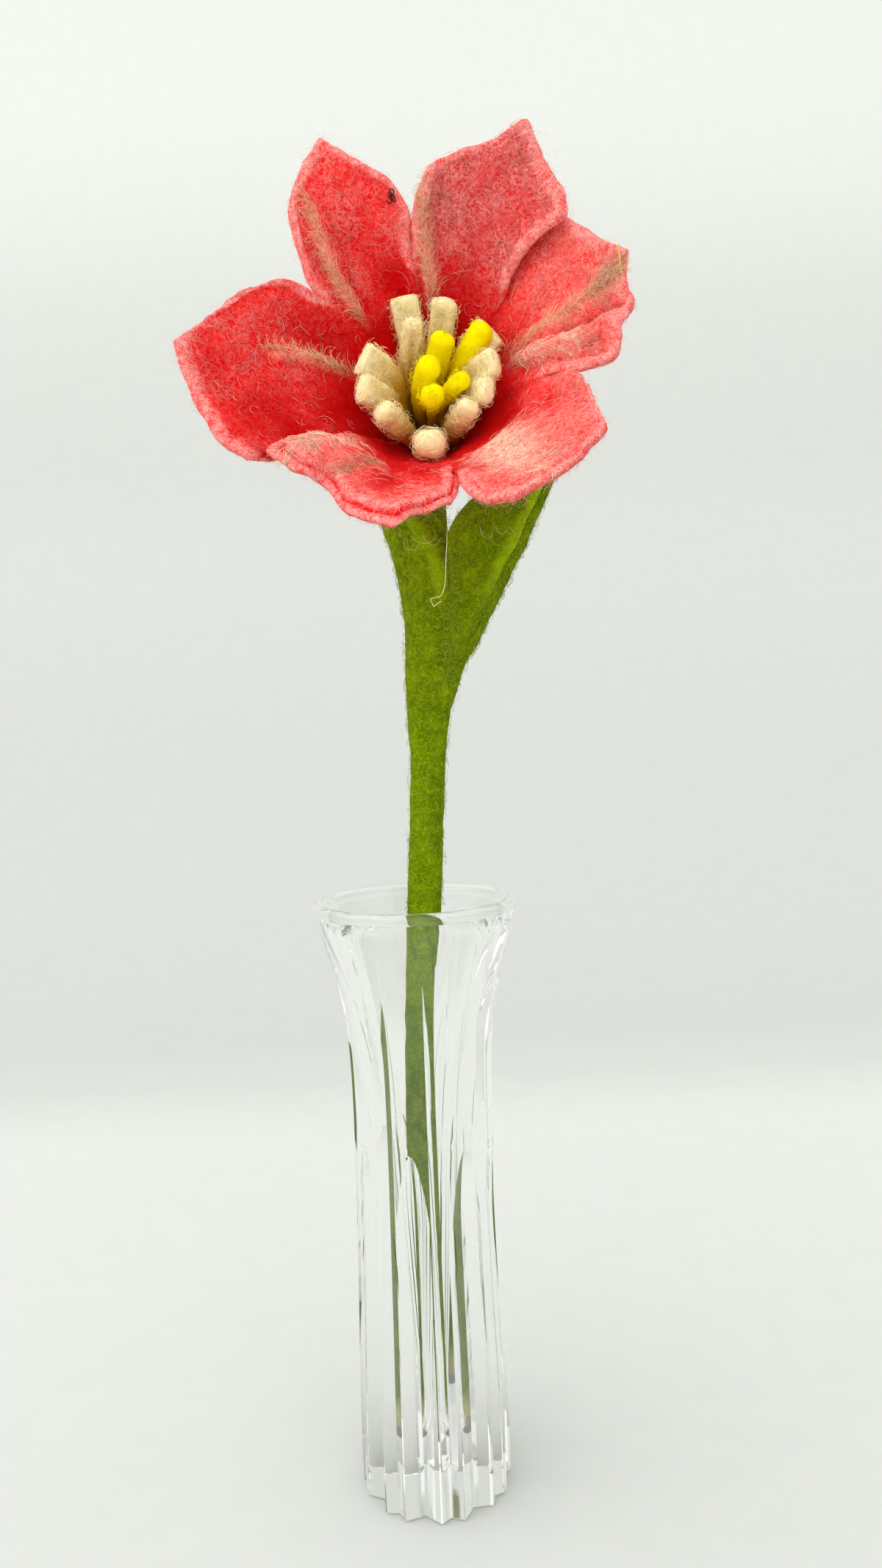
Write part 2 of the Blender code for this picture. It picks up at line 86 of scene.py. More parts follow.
def ease(x, lo, hi):
    t = np.clip((np.asarray(x, float) - lo) / (hi - lo), 0, 1)
    return t * t * (3 - 2 * t)


def interp(table, x, col):
    return np.interp(x, [row[0] for row in table], [row[col] for row in table])


LATTICE = np.random.default_rng(7).random((4, 24, 24, 24))


def lump(p, size, seed=0):
    """Smooth random field from -1 to 1 with features of about this size."""
    q = np.asarray(p, float) / size + 11.3 * seed + 100.0
    c = np.floor(q).astype(int)
    f = q - c
    f = f * f * (3 - 2 * f)
    out = 0.0
    for dx in (0, 1):
        for dy in (0, 1):
            for dz in (0, 1):
                w = (np.where(dx, f[..., 0], 1 - f[..., 0]) * np.where(dy, f[..., 1], 1 - f[..., 1])
                     * np.where(dz, f[..., 2], 1 - f[..., 2]))
                out = out + w * LATTICE[seed % 4, (c[..., 0] + dx) % 24, (c[..., 1] + dy) % 24,
                                        (c[..., 2] + dz) % 24]
    return out * 2 - 1


def smooth_curve(points, count):
    """Catmull-Rom curve through the points, evenly spread by length."""
    p = np.array(points, float)
    if len(p) == 2:
        w = np.linspace(0, 1, count)[:, None]
        return p[0] * (1 - w) + p[1] * w
    ext = np.vstack([2 * p[0] - p[1], p, 2 * p[-1] - p[-2]])
    fine = []
    for i in range(1, len(ext) - 2):
        a, b, c, d = ext[i - 1], ext[i], ext[i + 1], ext[i + 2]
        for t in np.linspace(0, 1, 25, endpoint=False):
            fine.append(0.5 * (2 * b + (c - a) * t + (2 * a - 5 * b + 4 * c - d) * t * t
                               + (3 * b - a - 3 * c + d) * t ** 3))
    fine.append(ext[-2])
    fine = np.array(fine)
    step = np.linalg.norm(np.diff(fine[:, :2], axis=0), axis=1)
    run = np.concatenate([[0], np.cumsum(step)])
    at = np.linspace(0, run[-1], count)
    return np.stack([np.interp(at, run, fine[:, k]) for k in range(p.shape[1])], 1)


def sample(curve, w):
    x = np.linspace(0, 1, len(curve))
    return np.stack([np.interp(w, x, curve[:, k]) for k in range(curve.shape[1])], -1)


def patch(spec, us, vs):
    """Blend four edge curves into a grid (u across, v from base to rim)."""
    start = smooth_curve(spec["start"], 160)
    end = smooth_curve(spec["end"], 160)
    tip = spec["tip"]
    rim_a = smooth_curve(spec["rim"][:tip + 1], 120)
    rim_b = smooth_curve(spec["rim"][tip:], 120)
    b0, b1, r0, r1 = start[0], end[0], start[-1], end[-1]
    u, v = us[:, None, None], vs[None, :, None]
    rim = np.where((us <= 0.5)[:, None], sample(rim_a, np.clip(2 * us, 0, 1)),
                   sample(rim_b, np.clip(2 * us - 1, 0, 1)))[:, None, :]
    base = (b0 * (1 - us[:, None]) + b1 * us[:, None])[:, None, :]
    s, e = sample(start, vs)[None], sample(end, vs)[None]
    return ((1 - v) * base + v * rim + (1 - u) * s + u * e
            - ((1 - u) * (1 - v) * b0 + u * (1 - v) * b1 + (1 - u) * v * r0 + u * v * r1))


def unit(v):
    return v / np.maximum(np.linalg.norm(v, axis=-1), 1e-9)[..., None]


def grid_normals(grid):
    return unit(np.cross(np.gradient(grid, axis=0), np.gradient(grid, axis=1)))


def soften(field, passes):
    """Even out a grid of values."""
    for _ in range(passes):
        if field.ndim == 2:
            p = np.pad(field, 1, mode="edge")
        else:
            p = np.pad(field, ((1, 1), (1, 1), (0, 0)), mode="edge")
        field = (p[:-2, 1:-1] + p[2:, 1:-1] + p[1:-1, :-2] + p[1:-1, 2:] + 4 * field) / 8
    return field


def line_distance(x, y, line):
    """Signed distance from points to a polyline and the fraction along it."""
    best = np.full(x.shape, 1e9)
    side = np.ones(x.shape)
    along = np.zeros(x.shape)
    line = np.array(line, float)
    seg = np.linalg.norm(np.diff(line, axis=0), axis=1)
    run = np.concatenate([[0], np.cumsum(seg)]) / seg.sum()
    for k in range(len(line) - 1):
        ax, ay = line[k]
        dx, dy = line[k + 1] - line[k]
        t = np.clip(((x - ax) * dx + (y - ay) * dy) / (dx * dx + dy * dy), 0, 1)
        ex, ey = x - ax - t * dx, y - ay - t * dy
        d = np.hypot(ex, ey)
        near = d < best
        best = np.where(near, d, best)
        side = np.where(near, np.sign(dx * ey - dy * ex), side)
        along = np.where(near, run[k] + t * (run[k + 1] - run[k]), along)
    return best, side, along


def make_piece(name, verts, faces, tint, material, node=None, sharp=None, more=None):
    """Mesh piece from an array of points in millimetres and an array of faces."""
    verts = np.asarray(verts, np.float64)
    faces = [np.asarray(f, np.int32) for f in (faces if isinstance(faces, list) else [faces])]
    vol = 0.0
    for f in faces:
        for k in range(1, f.shape[1] - 1):
            a, b, c = verts[f[:, 0]], verts[f[:, k]], verts[f[:, k + 1]]
            vol += np.einsum("ij,ij->i", a, np.cross(b, c)).sum()
    if vol < 0:
        faces = [f[:, ::-1] for f in faces]
    mesh = bpy.data.meshes.new(name)
    mesh.vertices.add(len(verts))
    mesh.vertices.foreach_set("co", (verts * MM).astype(np.float32).ravel())
    sizes = np.concatenate([np.full(len(f), f.shape[1], np.int32) for f in faces])
    corners = np.concatenate([f.ravel() for f in faces])
    mesh.loops.add(len(corners))
    mesh.loops.foreach_set("vertex_index", corners)
    mesh.polygons.add(len(sizes))
    mesh.polygons.foreach_set("loop_start", np.concatenate([[0], np.cumsum(sizes)[:-1]]).astype(np.int32))
    mesh.update(calc_edges=True)
    mesh.validate()
    mesh.shade_smooth()
    if sharp is not None:
        mesh.set_sharp_from_angle(angle=math.radians(sharp))
    if tint is not None:
        layer = mesh.color_attributes.new(name="tint", type="FLOAT_COLOR", domain="POINT")
        rgba = np.ones((len(verts), 4), np.float32)
        tint = np.asarray(tint)
        rgba[:, :tint.shape[1]] = np.clip(tint, 0, 1)
        layer.data.foreach_set("color", rgba.ravel())
    for key, values in (more or {}).items():
        layer = mesh.attributes.new(name=key, type="FLOAT", domain="POINT")
        layer.data.foreach_set("value", np.asarray(values, np.float32))
    obj = bpy.data.objects.new(name, mesh)
    bpy.context.scene.collection.objects.link(obj)
    mesh.materials.append(material)
    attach(obj, "root")
    if node:
        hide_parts(*([node] if isinstance(node, str) else node))
    return obj


# ================================================================ materials
class Nodes:
    """Short hand for building a node material."""

    def __init__(self, name):
        self.mat = bpy.data.materials.new(name)
        self.mat.use_nodes = True
        self.tree = self.mat.node_tree
        self.shader = self.tree.nodes["Principled BSDF"]

    def add(self, kind, **values):
        node = self.tree.nodes.new(kind)
        for key, value in values.items():
            setattr(node, key, value)
        return node

    def link(self, a, b):
        self.tree.links.new(a, b)

    def put(self, socket, value):
        if isinstance(value, bpy.types.NodeSocket):
            self.link(value, socket)
        else:
            socket.default_value = value

    def math(self, op, a, b=0.0, c=None, clamp=False):
        node = self.add("ShaderNodeMath", operation=op, use_clamp=clamp)
        self.put(node.inputs[0], a)
        self.put(node.inputs[1], b)
        if c is not None:
            self.put(node.inputs[2], c)
        return node.outputs[0]

    def blend(self, fac, a, b, mode="MIX"):
        node = self.add("ShaderNodeMix", data_type="RGBA", blend_type=mode)
        self.put(node.inputs[0], fac)
        self.put(node.inputs[6], a)
        self.put(node.inputs[7], b)
        return node.outputs[2]

    def ramp(self, value, lo, hi, to_lo=0.0, to_hi=1.0):
        node = self.add("ShaderNodeMapRange", interpolation_type="SMOOTHSTEP")
        self.put(node.inputs["Value"], value)
        self.put(node.inputs["From Min"], lo)
        self.put(node.inputs["From Max"], hi)
        self.put(node.inputs["To Min"], to_lo)
        self.put(node.inputs["To Max"], to_hi)
        return node.outputs["Result"]

    def noise(self, vector, scale, detail=2.0, rough=0.5, distort=0.0, shift=0.0):
        move = self.add("ShaderNodeVectorMath", operation="ADD")
        self.put(move.inputs[0], vector)
        move.inputs[1].default_value = (shift, shift * 1.7, shift * 2.3)
        node = self.add("ShaderNodeTexNoise", noise_dimensions="3D")
        self.put(node.inputs["Vector"], move.outputs[0])
        node.inputs["Scale"].default_value = scale
        node.inputs["Detail"].default_value = detail
        node.inputs["Roughness"].default_value = rough
        node.inputs["Distortion"].default_value = distort
        return node

    def split(self, socket):
        node = self.add("ShaderNodeSeparateColor")
        self.put(node.inputs[0], socket)
        return node.outputs


def felt(name, fibre_rgb, dark_gain, sheen_rgb, fibre_amount=0.55, scale=1.0, sheen=0.03, rough=0.95,
         bump=0.5, mottle=0.30):
    """Wool felt: a web of fine curly fibres over a mottled ground."""
    n = Nodes(name)
    coord = n.add("ShaderNodeTexCoord").outputs["Object"]
    mm = n.add("ShaderNodeVectorMath", operation="SCALE")
    n.put(mm.inputs[0], coord)
    mm.inputs["Scale"].default_value = 1000.0
    mm = mm.outputs[0]
    attribute = n.add("ShaderNodeAttribute", attribute_name="tint")
    tint, share = attribute.outputs["Color"], attribute.outputs["Alpha"]
    # web of thin winding lines: the level lines of smooth noise, broken into strands
    masks = n.split(n.noise(mm, 0.32 * scale, 2.0, 0.6, 0.0, 31.0).outputs["Color"])
    strands = []
    for k, (size, repeat, wide, shift) in enumerate(((0.42, 2.6, 0.075, 3.0), (0.62, 2.2, 0.085, 57.0))):
        parts = n.split(n.noise(mm, size * scale, 1.2, 0.45, 0.55, shift).outputs["Color"])
        for j in range(3):
            wave = n.math("FRACT", n.math("MULTIPLY", parts[j], repeat))
            off = n.math("ABSOLUTE", n.math("SUBTRACT", wave, 0.5))
            line = n.ramp(off, wide, wide * 0.25)
            show = n.ramp(masks[(j + k) % 3], 0.40, 0.56)
            strands.append(n.math("MULTIPLY", line, show))
    web = strands[0]
    for s in strands[1:]:
        web = n.math("MAXIMUM", web, s)
    fine = n.noise(mm, 1.7 * scale, 4.0, 0.68, 0.5, 11.0).outputs["Fac"]
    blot = n.noise(mm, 0.42 * scale, 3.0, 0.6, 0.4, 77.0).outputs["Fac"]
    ground = n.ramp(n.math("ADD", n.math("MULTIPLY", fine, 0.6), n.math("MULTIPLY", blot, 0.4)), 0.41, 0.60)
    dark = n.blend(1.0, tint, (*dark_gain, 1.0), "MULTIPLY")
    base = n.blend(n.math("MULTIPLY", n.math("SUBTRACT", 1.0, ground), mottle * 2.0, clamp=True), tint, dark)
    dense = n.ramp(n.noise(mm, 0.9 * scale, 3.0, 0.7, 0.6, 41.0).outputs["Fac"], 0.44, 0.64)
    dense = n.math("MULTIPLY", n.math("MULTIPLY", dense, mottle), share, clamp=True)
    lighter = n.blend(dense, base, (*fibre_rgb, 1.0))
    lines = n.math("MULTIPLY", n.math("MULTIPLY", web, fibre_amount), share, clamp=True)
    colour = n.blend(lines, lighter, (*fibre_rgb, 1.0))
    n.link(colour, n.shader.inputs["Base Color"])
    n.shader.inputs["Roughness"].default_value = rough
    n.shader.inputs["Specular IOR Level"].default_value = 0.03
    n.shader.inputs["Sheen Weight"].default_value = sheen
    n.shader.inputs["Sheen Roughness"].default_value = 0.45
    n.shader.inputs["Sheen Tint"].default_value = (*sheen_rgb, 1.0)
    height = n.math("ADD", n.math("MULTIPLY", web, 0.5), n.math("MULTIPLY", ground, 0.7))
    relief = n.add("ShaderNodeBump")
    relief.inputs["Strength"].default_value = bump
    relief.inputs["Distance"].default_value = 0.35 * MM
    n.link(height, relief.inputs["Height"])
    n.link(relief.outputs["Normal"], n.shader.inputs["Normal"])
    n.mat.diffuse_color = (*fibre_rgb, 1.0)
    return n.mat


def strand(name, glow):
    """Single wool fibres, each with its own tone."""
    n = Nodes(name)
    tint = n.add("ShaderNodeAttribute", attribute_name="tint").outputs["Color"]
    coord = n.add("ShaderNodeTexCoord").outputs["Object"]
    vary = n.noise(coord, 900.0, 1.0, 0.5, 0.0, 5.0).outputs["Fac"]
    gain = n.ramp(vary, 0.3, 0.7, 0.82, 1.12)
    grey = n.add("ShaderNodeCombineColor")
    for k in range(3):
        n.link(gain, grey.inputs[k])
    n.link(n.blend(1.0, tint, grey.outputs[0], "MULTIPLY"), n.shader.inputs["Base Color"])
    n.shader.inputs["Roughness"].default_value = 0.8
    n.shader.inputs["Specular IOR Level"].default_value = 0.08
    n.mat.diffuse_color = glow
    return n.mat


def glass_material():
    n = Nodes("pressed_glass")
    coord = n.add("ShaderNodeTexCoord").outputs["Object"]
    # very faint unevenness left by the mould, and a trace of haze
    wave = n.noise(coord, 28.0, 1.0, 0.4, 0.0, 2.0).outputs["Fac"]
    haze = n.noise(coord, 60.0, 2.0, 0.5, 0.0, 9.0).outputs["Fac"]
    part = n.add("ShaderNodeSeparateXYZ")
    n.link(coord, part.inputs[0])
    # greyer towards the foot: painted shade that tones down the bright reflections inside the solid foot
    thin = n.ramp(part.outputs["Z"], 0.0, 0.042)
    rough = n.math("ADD", n.ramp(haze, 0.5, 0.8, 0.0, 0.010), n.ramp(part.outputs["Z"], 0.012, 0.042, 0.07, 0.0))
    n.link(rough, n.shader.inputs["Roughness"])
    n.link(n.blend(thin, (0.80, 0.81, 0.78, 1.0), (0.992, 0.996, 0.988, 1.0)), n.shader.inputs["Base Color"])
    n.shader.inputs["Transmission Weight"].default_value = 1.0
    n.shader.inputs["IOR"].default_value = 1.50
    relief = n.add("ShaderNodeBump")
    relief.inputs["Strength"].default_value = 0.012
    relief.inputs["Distance"].default_value = 0.2 * MM
    n.link(wave, relief.inputs["Height"])
    n.link(relief.outputs["Normal"], n.shader.inputs["Normal"])
    return n.mat


M_RED = felt("felt_red", (1.0, 0.42, 0.38), (0.84, 0.04, 0.05), (1.0, 0.35, 0.32), 0.50, mottle=0.46, sheen=0.015)
M_GREEN = felt("felt_green", (0.40, 0.50, 0.004), (0.55, 0.62, 0.05), (0.75, 0.85, 0.35), 0.34, mottle=0.30)
M_CREAM = felt("felt_cream", (1.0, 0.98, 0.80), (0.98, 0.84, 0.36), (1.0, 0.95, 0.8), 0.45, scale=1.3,
               mottle=0.30)
M_YELLOW = felt("felt_yellow", (1.0, 0.97, 0.01), (1.0, 0.84, 0.0), (1.0, 0.95, 0.1), 0.25, scale=1.4,
                mottle=0.16)
M_STRAND_RED = strand("wool_red", (0.9, 0.4, 0.4, 1))
M_STRAND_GREEN = strand("wool_green", (0.4, 0.5, 0.1, 1))
M_STRAND_CREAM = strand("wool_cream", (0.9, 0.8, 0.6, 1))
M_STRAND_YELLOW = strand("wool_yellow", (1.0, 0.85, 0.05, 1))
M_GLASS = glass_material()


# ================================================================ felt sheets
def border_loop(ni, nj):
    return ([(i, 0) for i in range(ni - 1)] + [(ni - 1, j) for j in range(nj - 1)]
            + [(i, nj - 1) for i in range(ni - 1, 0, -1)] + [(0, j) for j in range(nj - 1, 0, -1)])


def sheet_solid(mid, normal, thick, bulge=0.55, rows=(0.24, 0.5, 0.76)):
    """Closed felt sheet: two faces and a rounded wall with rows of its own."""
    ni, nj = mid.shape[:2]
    front = mid + normal * thick[..., None] / 2
    back = mid - normal * thick[..., None] / 2
    off = ni * nj
    loop = border_loop(ni, nj)
    li = np.array([p[0] for p in loop])
    lj = np.array([p[1] for p in loop])
    inner_i = np.clip(li, 1, ni - 2)
    inner_j = np.clip(lj, 1, nj - 2)
    out = unit(mid[li, lj] - mid[inner_i, inner_j])
    walls = []
    for w in rows:
        swell = bulge * math.sin(math.pi * w)
        walls.append(front[li, lj] * (1 - w) + back[li, lj] * w + out * (thick[li, lj] * 0.5 * swell)[:, None])
    verts = np.concatenate([front.reshape(-1, 3), back.reshape(-1, 3)] + walls)
    i, j = np.meshgrid(np.arange(ni - 1), np.arange(nj - 1), indexing="ij")
    i, j = i.ravel(), j.ravel()
    q = np.stack([i * nj + j, (i + 1) * nj + j, (i + 1) * nj + j + 1, i * nj + j + 1], 1)
    faces = [q, q[:, ::-1] + off]
    chain = [li * nj + lj] + [2 * off + k * len(loop) + np.arange(len(loop)) for k in range(len(rows))]
    chain.append(li * nj + lj + off)
    for upper, lower in zip(chain, chain[1:]):
        faces.append(np.stack([np.roll(upper, -1), upper, lower, np.roll(lower, -1)], 1))
    return verts, np.concatenate(faces), (li, lj)


def border_distance(mid):
    """Distance in millimetres of each grid point to the two side edges and the rim."""
    across = np.concatenate([np.zeros((1, mid.shape[1])),
                             np.cumsum(np.linalg.norm(np.diff(mid, axis=0), axis=2), axis=0)])
    down = np.concatenate([np.zeros((mid.shape[0], 1)),
                           np.cumsum(np.linalg.norm(np.diff(mid, axis=1), axis=2), axis=1)], axis=1)
    return across, across[-1:, :] - across, down[:, -1:] - down


class Surface:
    """A grid of surface points that fibres can grow on and follow."""

    def __init__(self, points, normals, closed=False):
        self.p, self.n, self.closed = points, normals, closed
        self.ni, self.nj = points.shape[:2]
        if closed:
            self.du = (np.roll(points, -1, 0) - np.roll(points, 1, 0)) / 2
        else:
            self.du = np.gradient(points, axis=0)
        self.dv = np.gradient(points, axis=1)
        area = np.linalg.norm(np.cross(self.du, self.dv), axis=2)
        self.area = area

    def at(self, field, a, b):
        if self.closed:
            a = np.mod(a, self.ni)
            i = np.floor(a).astype(int) % self.ni
            i2 = (i + 1) % self.ni
            fa = (a - np.floor(a))[:, None]
        else:
            a = np.clip(a, 0, self.ni - 1.001)
            i = np.floor(a).astype(int)
            i2 = i + 1
            fa = (a - i)[:, None]
        b = np.clip(b, 0, self.nj - 1.001)
        j = np.floor(b).astype(int)
        fb = (b - j)[:, None]
        return ((field[i, j] * (1 - fa) + field[i2, j] * fa) * (1 - fb)
                + (field[i, j + 1] * (1 - fa) + field[i2, j + 1] * fa) * fb)

    def pick(self, rng, count, weight=None):
        w = self.area * (1.0 if weight is None else weight)
        if not self.closed:
            w = w[:-1, :-1]
        else:
            w = w[:, :-1]
        w = np.maximum(w, 0).ravel()
        k = rng.choice(len(w), size=count, p=w / w.sum())
        a, b = np.unravel_index(k, (self.ni - (0 if self.closed else 1), self.nj - 1))
        return a + rng.random(count), b + rng.random(count)


def grow(surface, rng, count, length, curl, lift, weight=None, segments=5, jitter=0.5, along=None, spread=3.2,
         free=0.35, sink=0.05, stray=0.35):
    """Curly fibres that follow a surface. Returns paths, up vectors and the grid spots they start from."""
    a, b = surface.pick(rng, count, weight)
    a0, b0 = a.copy(), b.copy()
    size = rng.uniform(*length, count)
    ds = size / segments
    head = rng.uniform(0, 2 * math.pi, count) if along is None else along + rng.normal(0, spread, count)
    bend = rng.choice([-1, 1], count) / rng.uniform(*curl, count)
    rise = lift * rng.random(count) ** 1.6
    loose = rng.random(count) < free
    adrift = np.zeros((count, 3))
    path, ups = [], []
    for k in range(segments + 1):
        p = surface.at(surface.p, a, b)
        n = unit(surface.at(surface.n, a, b))
        t = k / segments
        arch = math.sin(math.pi * t) ** 0.8
        high = np.where(loose, rise * (0.25 + 1.1 * t), rise * arch) + sink
        path.append(p + adrift + n * high[:, None])
        ups.append(n)
        du, dv = surface.at(surface.du, a, b), surface.at(surface.dv, a, b)
        e1 = unit(du)
        e2 = unit(np.cross(n, e1))
        d = e1 * np.cos(head)[:, None] + e2 * np.sin(head)[:, None]
        ee = (du * du).sum(1)
        ff = (du * dv).sum(1)
        gg = (dv * dv).sum(1)
        det = np.maximum(ee * gg - ff * ff, 1e-9)
        s1, s2 = (d * du).sum(1), (d * dv).sum(1)
        da = (gg * s1 - ff * s2) / det * ds
        db = (ee * s2 - ff * s1) / det * ds
        na, nb = a + da, b + db
        out = (nb < 0) | (nb > surface.nj - 1.001)
        if not surface.closed:
            out |= (na < 0) | (na > surface.ni - 1.001)
        adrift = np.where(out[:, None], adrift + stray * d * ds[:, None], adrift)
        a = np.where(out, a, na)
        b = np.where(out, b, nb)
        head = head + bend * ds + rng.normal(0, jitter, count) * 0.5
    return np.stack(path, 1), np.stack(ups, 1), a0, b0


def tubes(path, ups, width, tone):
    """Three-sided tubes that taper to a point at both ends."""
    count, m = path.shape[:2]
    seg = m - 1
    tang = unit(np.gradient(path, axis=1))
    side = unit(np.cross(tang, ups))
    top = np.cross(side, tang)
    ring = np.arange(1, seg)
    t = ring / seg
    prof = np.sin(math.pi * np.clip(t, 0.12, 0.88)) ** 0.5
    r = 0.5 * np.asarray(width)[:, None] * prof[None, :]
    verts = [path[:, :1], path[:, -1:]]
    rings = []
    for deg in (90, 210, 330):
        c, s = math.cos(math.radians(deg)), math.sin(math.radians(deg))
        rings.append(path[:, ring] + r[..., None] * (c * side[:, ring] + s * top[:, ring]))
    rings = np.stack(rings, 2).reshape(count, -1, 3)
    verts = np.concatenate(verts + [rings], 1)
    per = verts.shape[1]
    tri = []
    for k in range(3):
        k2 = (k + 1) % 3
        tri.append([0, 2 + k2, 2 + k])
        last = 2 + 3 * (seg - 2)
        tri.append([1, last + k, last + k2])
        for row in range(seg - 2):
            p0, p1 = 2 + 3 * row, 2 + 3 * (row + 1)
            tri.append([p0 + k, p0 + k2, p1 + k2])
            tri.append([p0 + k, p1 + k2, p1 + k])
    tri = np.array(tri)
    faces = (tri[None] + (np.arange(count) * per)[:, None, None]).reshape(-1, 3)
    tones = np.repeat(tone[:, None, :], per, 1).reshape(-1, 3)
    return verts.reshape(-1, 3), faces, tones


class Fuzz:
    """Collects fibres of one colour family into one piece."""

    def __init__(self):
        self.v, self.f, self.t, self.n = [], [], [], 0

    def add(self, path, ups, width, tone):
        v, f, t = tubes(path, ups, width, tone)
        self.v.append(v)
        self.f.append(f + self.n)
        self.t.append(t)
        self.n += len(v)

    def piece(self, name, material):
        return make_piece(name, np.concatenate(self.v), np.concatenate(self.f), np.concatenate(self.t),
                          material)


def thread(name, points, width, tone, material, count=None, sides=5):
    """One long loose fibre through the given points."""
    c = smooth_curve([tuple(p) for p in points], count or 10 * len(points))
    tang = unit(np.gradient(c, axis=0))
    ref = np.array([0.31, 0.2, 0.93])
    side = unit(np.cross(tang, ref))
    top = np.cross(side, tang)
    t = np.linspace(0, 1, len(c))
    r = 0.5 * width * np.clip(np.minimum(t, 1 - t) / 0.04, 0.15, 1.0)
    ang = np.linspace(0, 2 * math.pi, sides, endpoint=False)
    rings = (c[:, None] + r[:, None, None] * (np.cos(ang)[None, :, None] * side[:, None]
                                              + np.sin(ang)[None, :, None] * top[:, None]))
    verts = np.concatenate([rings.reshape(-1, 3), c[:1], c[-1:]])
    quads, tris = [], []
    n = len(c)
    for k in range(sides):
        k2 = (k + 1) % sides
        for i in range(n - 1):
            quads.append([i * sides + k, i * sides + k2, (i + 1) * sides + k2, (i + 1) * sides + k])
        tris.append([n * sides, k2, k])
        tris.append([n * sides + 1, (n - 1) * sides + k, (n - 1) * sides + k2])
    tint = np.tile(tone, (len(verts), 1))
    return make_piece(name, verts, [np.array(quads), np.array(tris)], tint, material)


# ================================================================ camera, light and floor
scene = bpy.context.scene
scene.view_settings.view_transform = "Standard"
scene.view_settings.look = "None"
scene.view_settings.exposure = 0.0
scene.view_settings.gamma = 1.0
# enough bounces for the light that runs inside the thick glass
scene.cycles.max_bounces = 32
scene.cycles.glossy_bounces = 32
scene.cycles.transmission_bounces = 32
scene.cycles.diffuse_bounces = 5

PITCH, YAW, ROLL = math.radians(3.9026), math.radians(1.4926), math.radians(-2.16695)
ahead = Vector((math.sin(YAW) * math.cos(PITCH), math.cos(YAW) * math.cos(PITCH), -math.sin(PITCH)))
flat = Vector((math.cos(YAW), -math.sin(YAW), 0.0))
above = flat.cross(ahead)
cam_x = flat * math.cos(ROLL) + above * math.sin(ROLL)
cam_y = above * math.cos(ROLL) - flat * math.sin(ROLL)
cam_data = bpy.data.cameras.new("camera")
cam_data.sensor_width = 36.0
cam_data.lens = 27.004
cam_data.clip_start = 0.01
camera = bpy.data.objects.new("camera", cam_data)
camera.matrix_world = Matrix((
    (cam_x.x, cam_y.x, -ahead.x, 0.0),
    (cam_x.y, cam_y.y, -ahead.y, -0.386166),
    (cam_x.z, cam_y.z, -ahead.z, 0.263554),
    (0, 0, 0, 1)))
scene.collection.objects.link(camera)
scene.camera = camera


def make_world():
    """Soft studio light: an even tent, brighter above, with a wide glow from the upper left front."""
    world = bpy.data.worlds.new("studio")
    world.use_nodes = True
    tree = world.node_tree
    back = tree.nodes["Background"]
    coord = tree.nodes.new("ShaderNodeTexCoord")
    part = tree.nodes.new("ShaderNodeSeparateXYZ")
    tree.links.new(coord.outputs["Generated"], part.inputs[0])

    def span(value, lo, hi, to_lo, to_hi):
        node = tree.nodes.new("ShaderNodeMapRange")
        node.interpolation_type = "SMOOTHSTEP"
        tree.links.new(value, node.inputs["Value"])
        for key, number in (("From Min", lo), ("From Max", hi), ("To Min", to_lo), ("To Max", to_hi)):
            node.inputs[key].default_value = number
        return node.outputs["Result"]

    def glow(direction, lo, strength):
        node = tree.nodes.new("ShaderNodeVectorMath")
        node.operation = "DOT_PRODUCT"
        tree.links.new(coord.outputs["Generated"], node.inputs[0])
        node.inputs[1].default_value = Vector(direction).normalized()
        return span(node.outputs["Value"], lo, 1.0, 0.0, strength)

    def add(a, b):
        node = tree.nodes.new("ShaderNodeMath")
        tree.links.new(a, node.inputs[0])
        tree.links.new(b, node.inputs[1])
        return node.outputs[0]
    total = add(span(part.outputs["Z"], -0.2, 0.9, 0.535, 0.94), glow((-0.60, -0.62, 0.50), 0.05, 1.34))
    for direction, lo, strength in (((0.80, -0.45, 0.40), 0.55, 0.33), ((0.0, -1.0, -0.05), 0.80, -0.33),
                                    ((1.0, 0.2, 0.02), 0.72, -0.40), ((-1.0, 0.25, 0.0), 0.74, -0.48)):
        total = add(total, glow(direction, lo, strength))
    # what is seen in and through the glass: the same tent with its contrast evened out
    even_tent = span(total, 0.25, 2.3, 0.38, 1.50)
    ray = tree.nodes.new("ShaderNodeLightPath")
    seen = ray.outputs["Is Camera Ray"]
    for name in ("Is Glossy Ray", "Is Transmission Ray"):
        node = tree.nodes.new("ShaderNodeMath")
        node.operation = "MAXIMUM"
        tree.links.new(seen, node.inputs[0])
        tree.links.new(ray.outputs[name], node.inputs[1])
        seen = node.outputs[0]
    pick = tree.nodes.new("ShaderNodeMapRange")
    tree.links.new(seen, pick.inputs["Value"])
    tree.links.new(total, pick.inputs["To Min"])
    tree.links.new(even_tent, pick.inputs["To Max"])
    tree.links.new(pick.outputs["Result"], back.inputs["Strength"])
    back.inputs["Color"].default_value = (0.985, 1.0, 0.975, 1.0)
    scene.world = world


make_world()


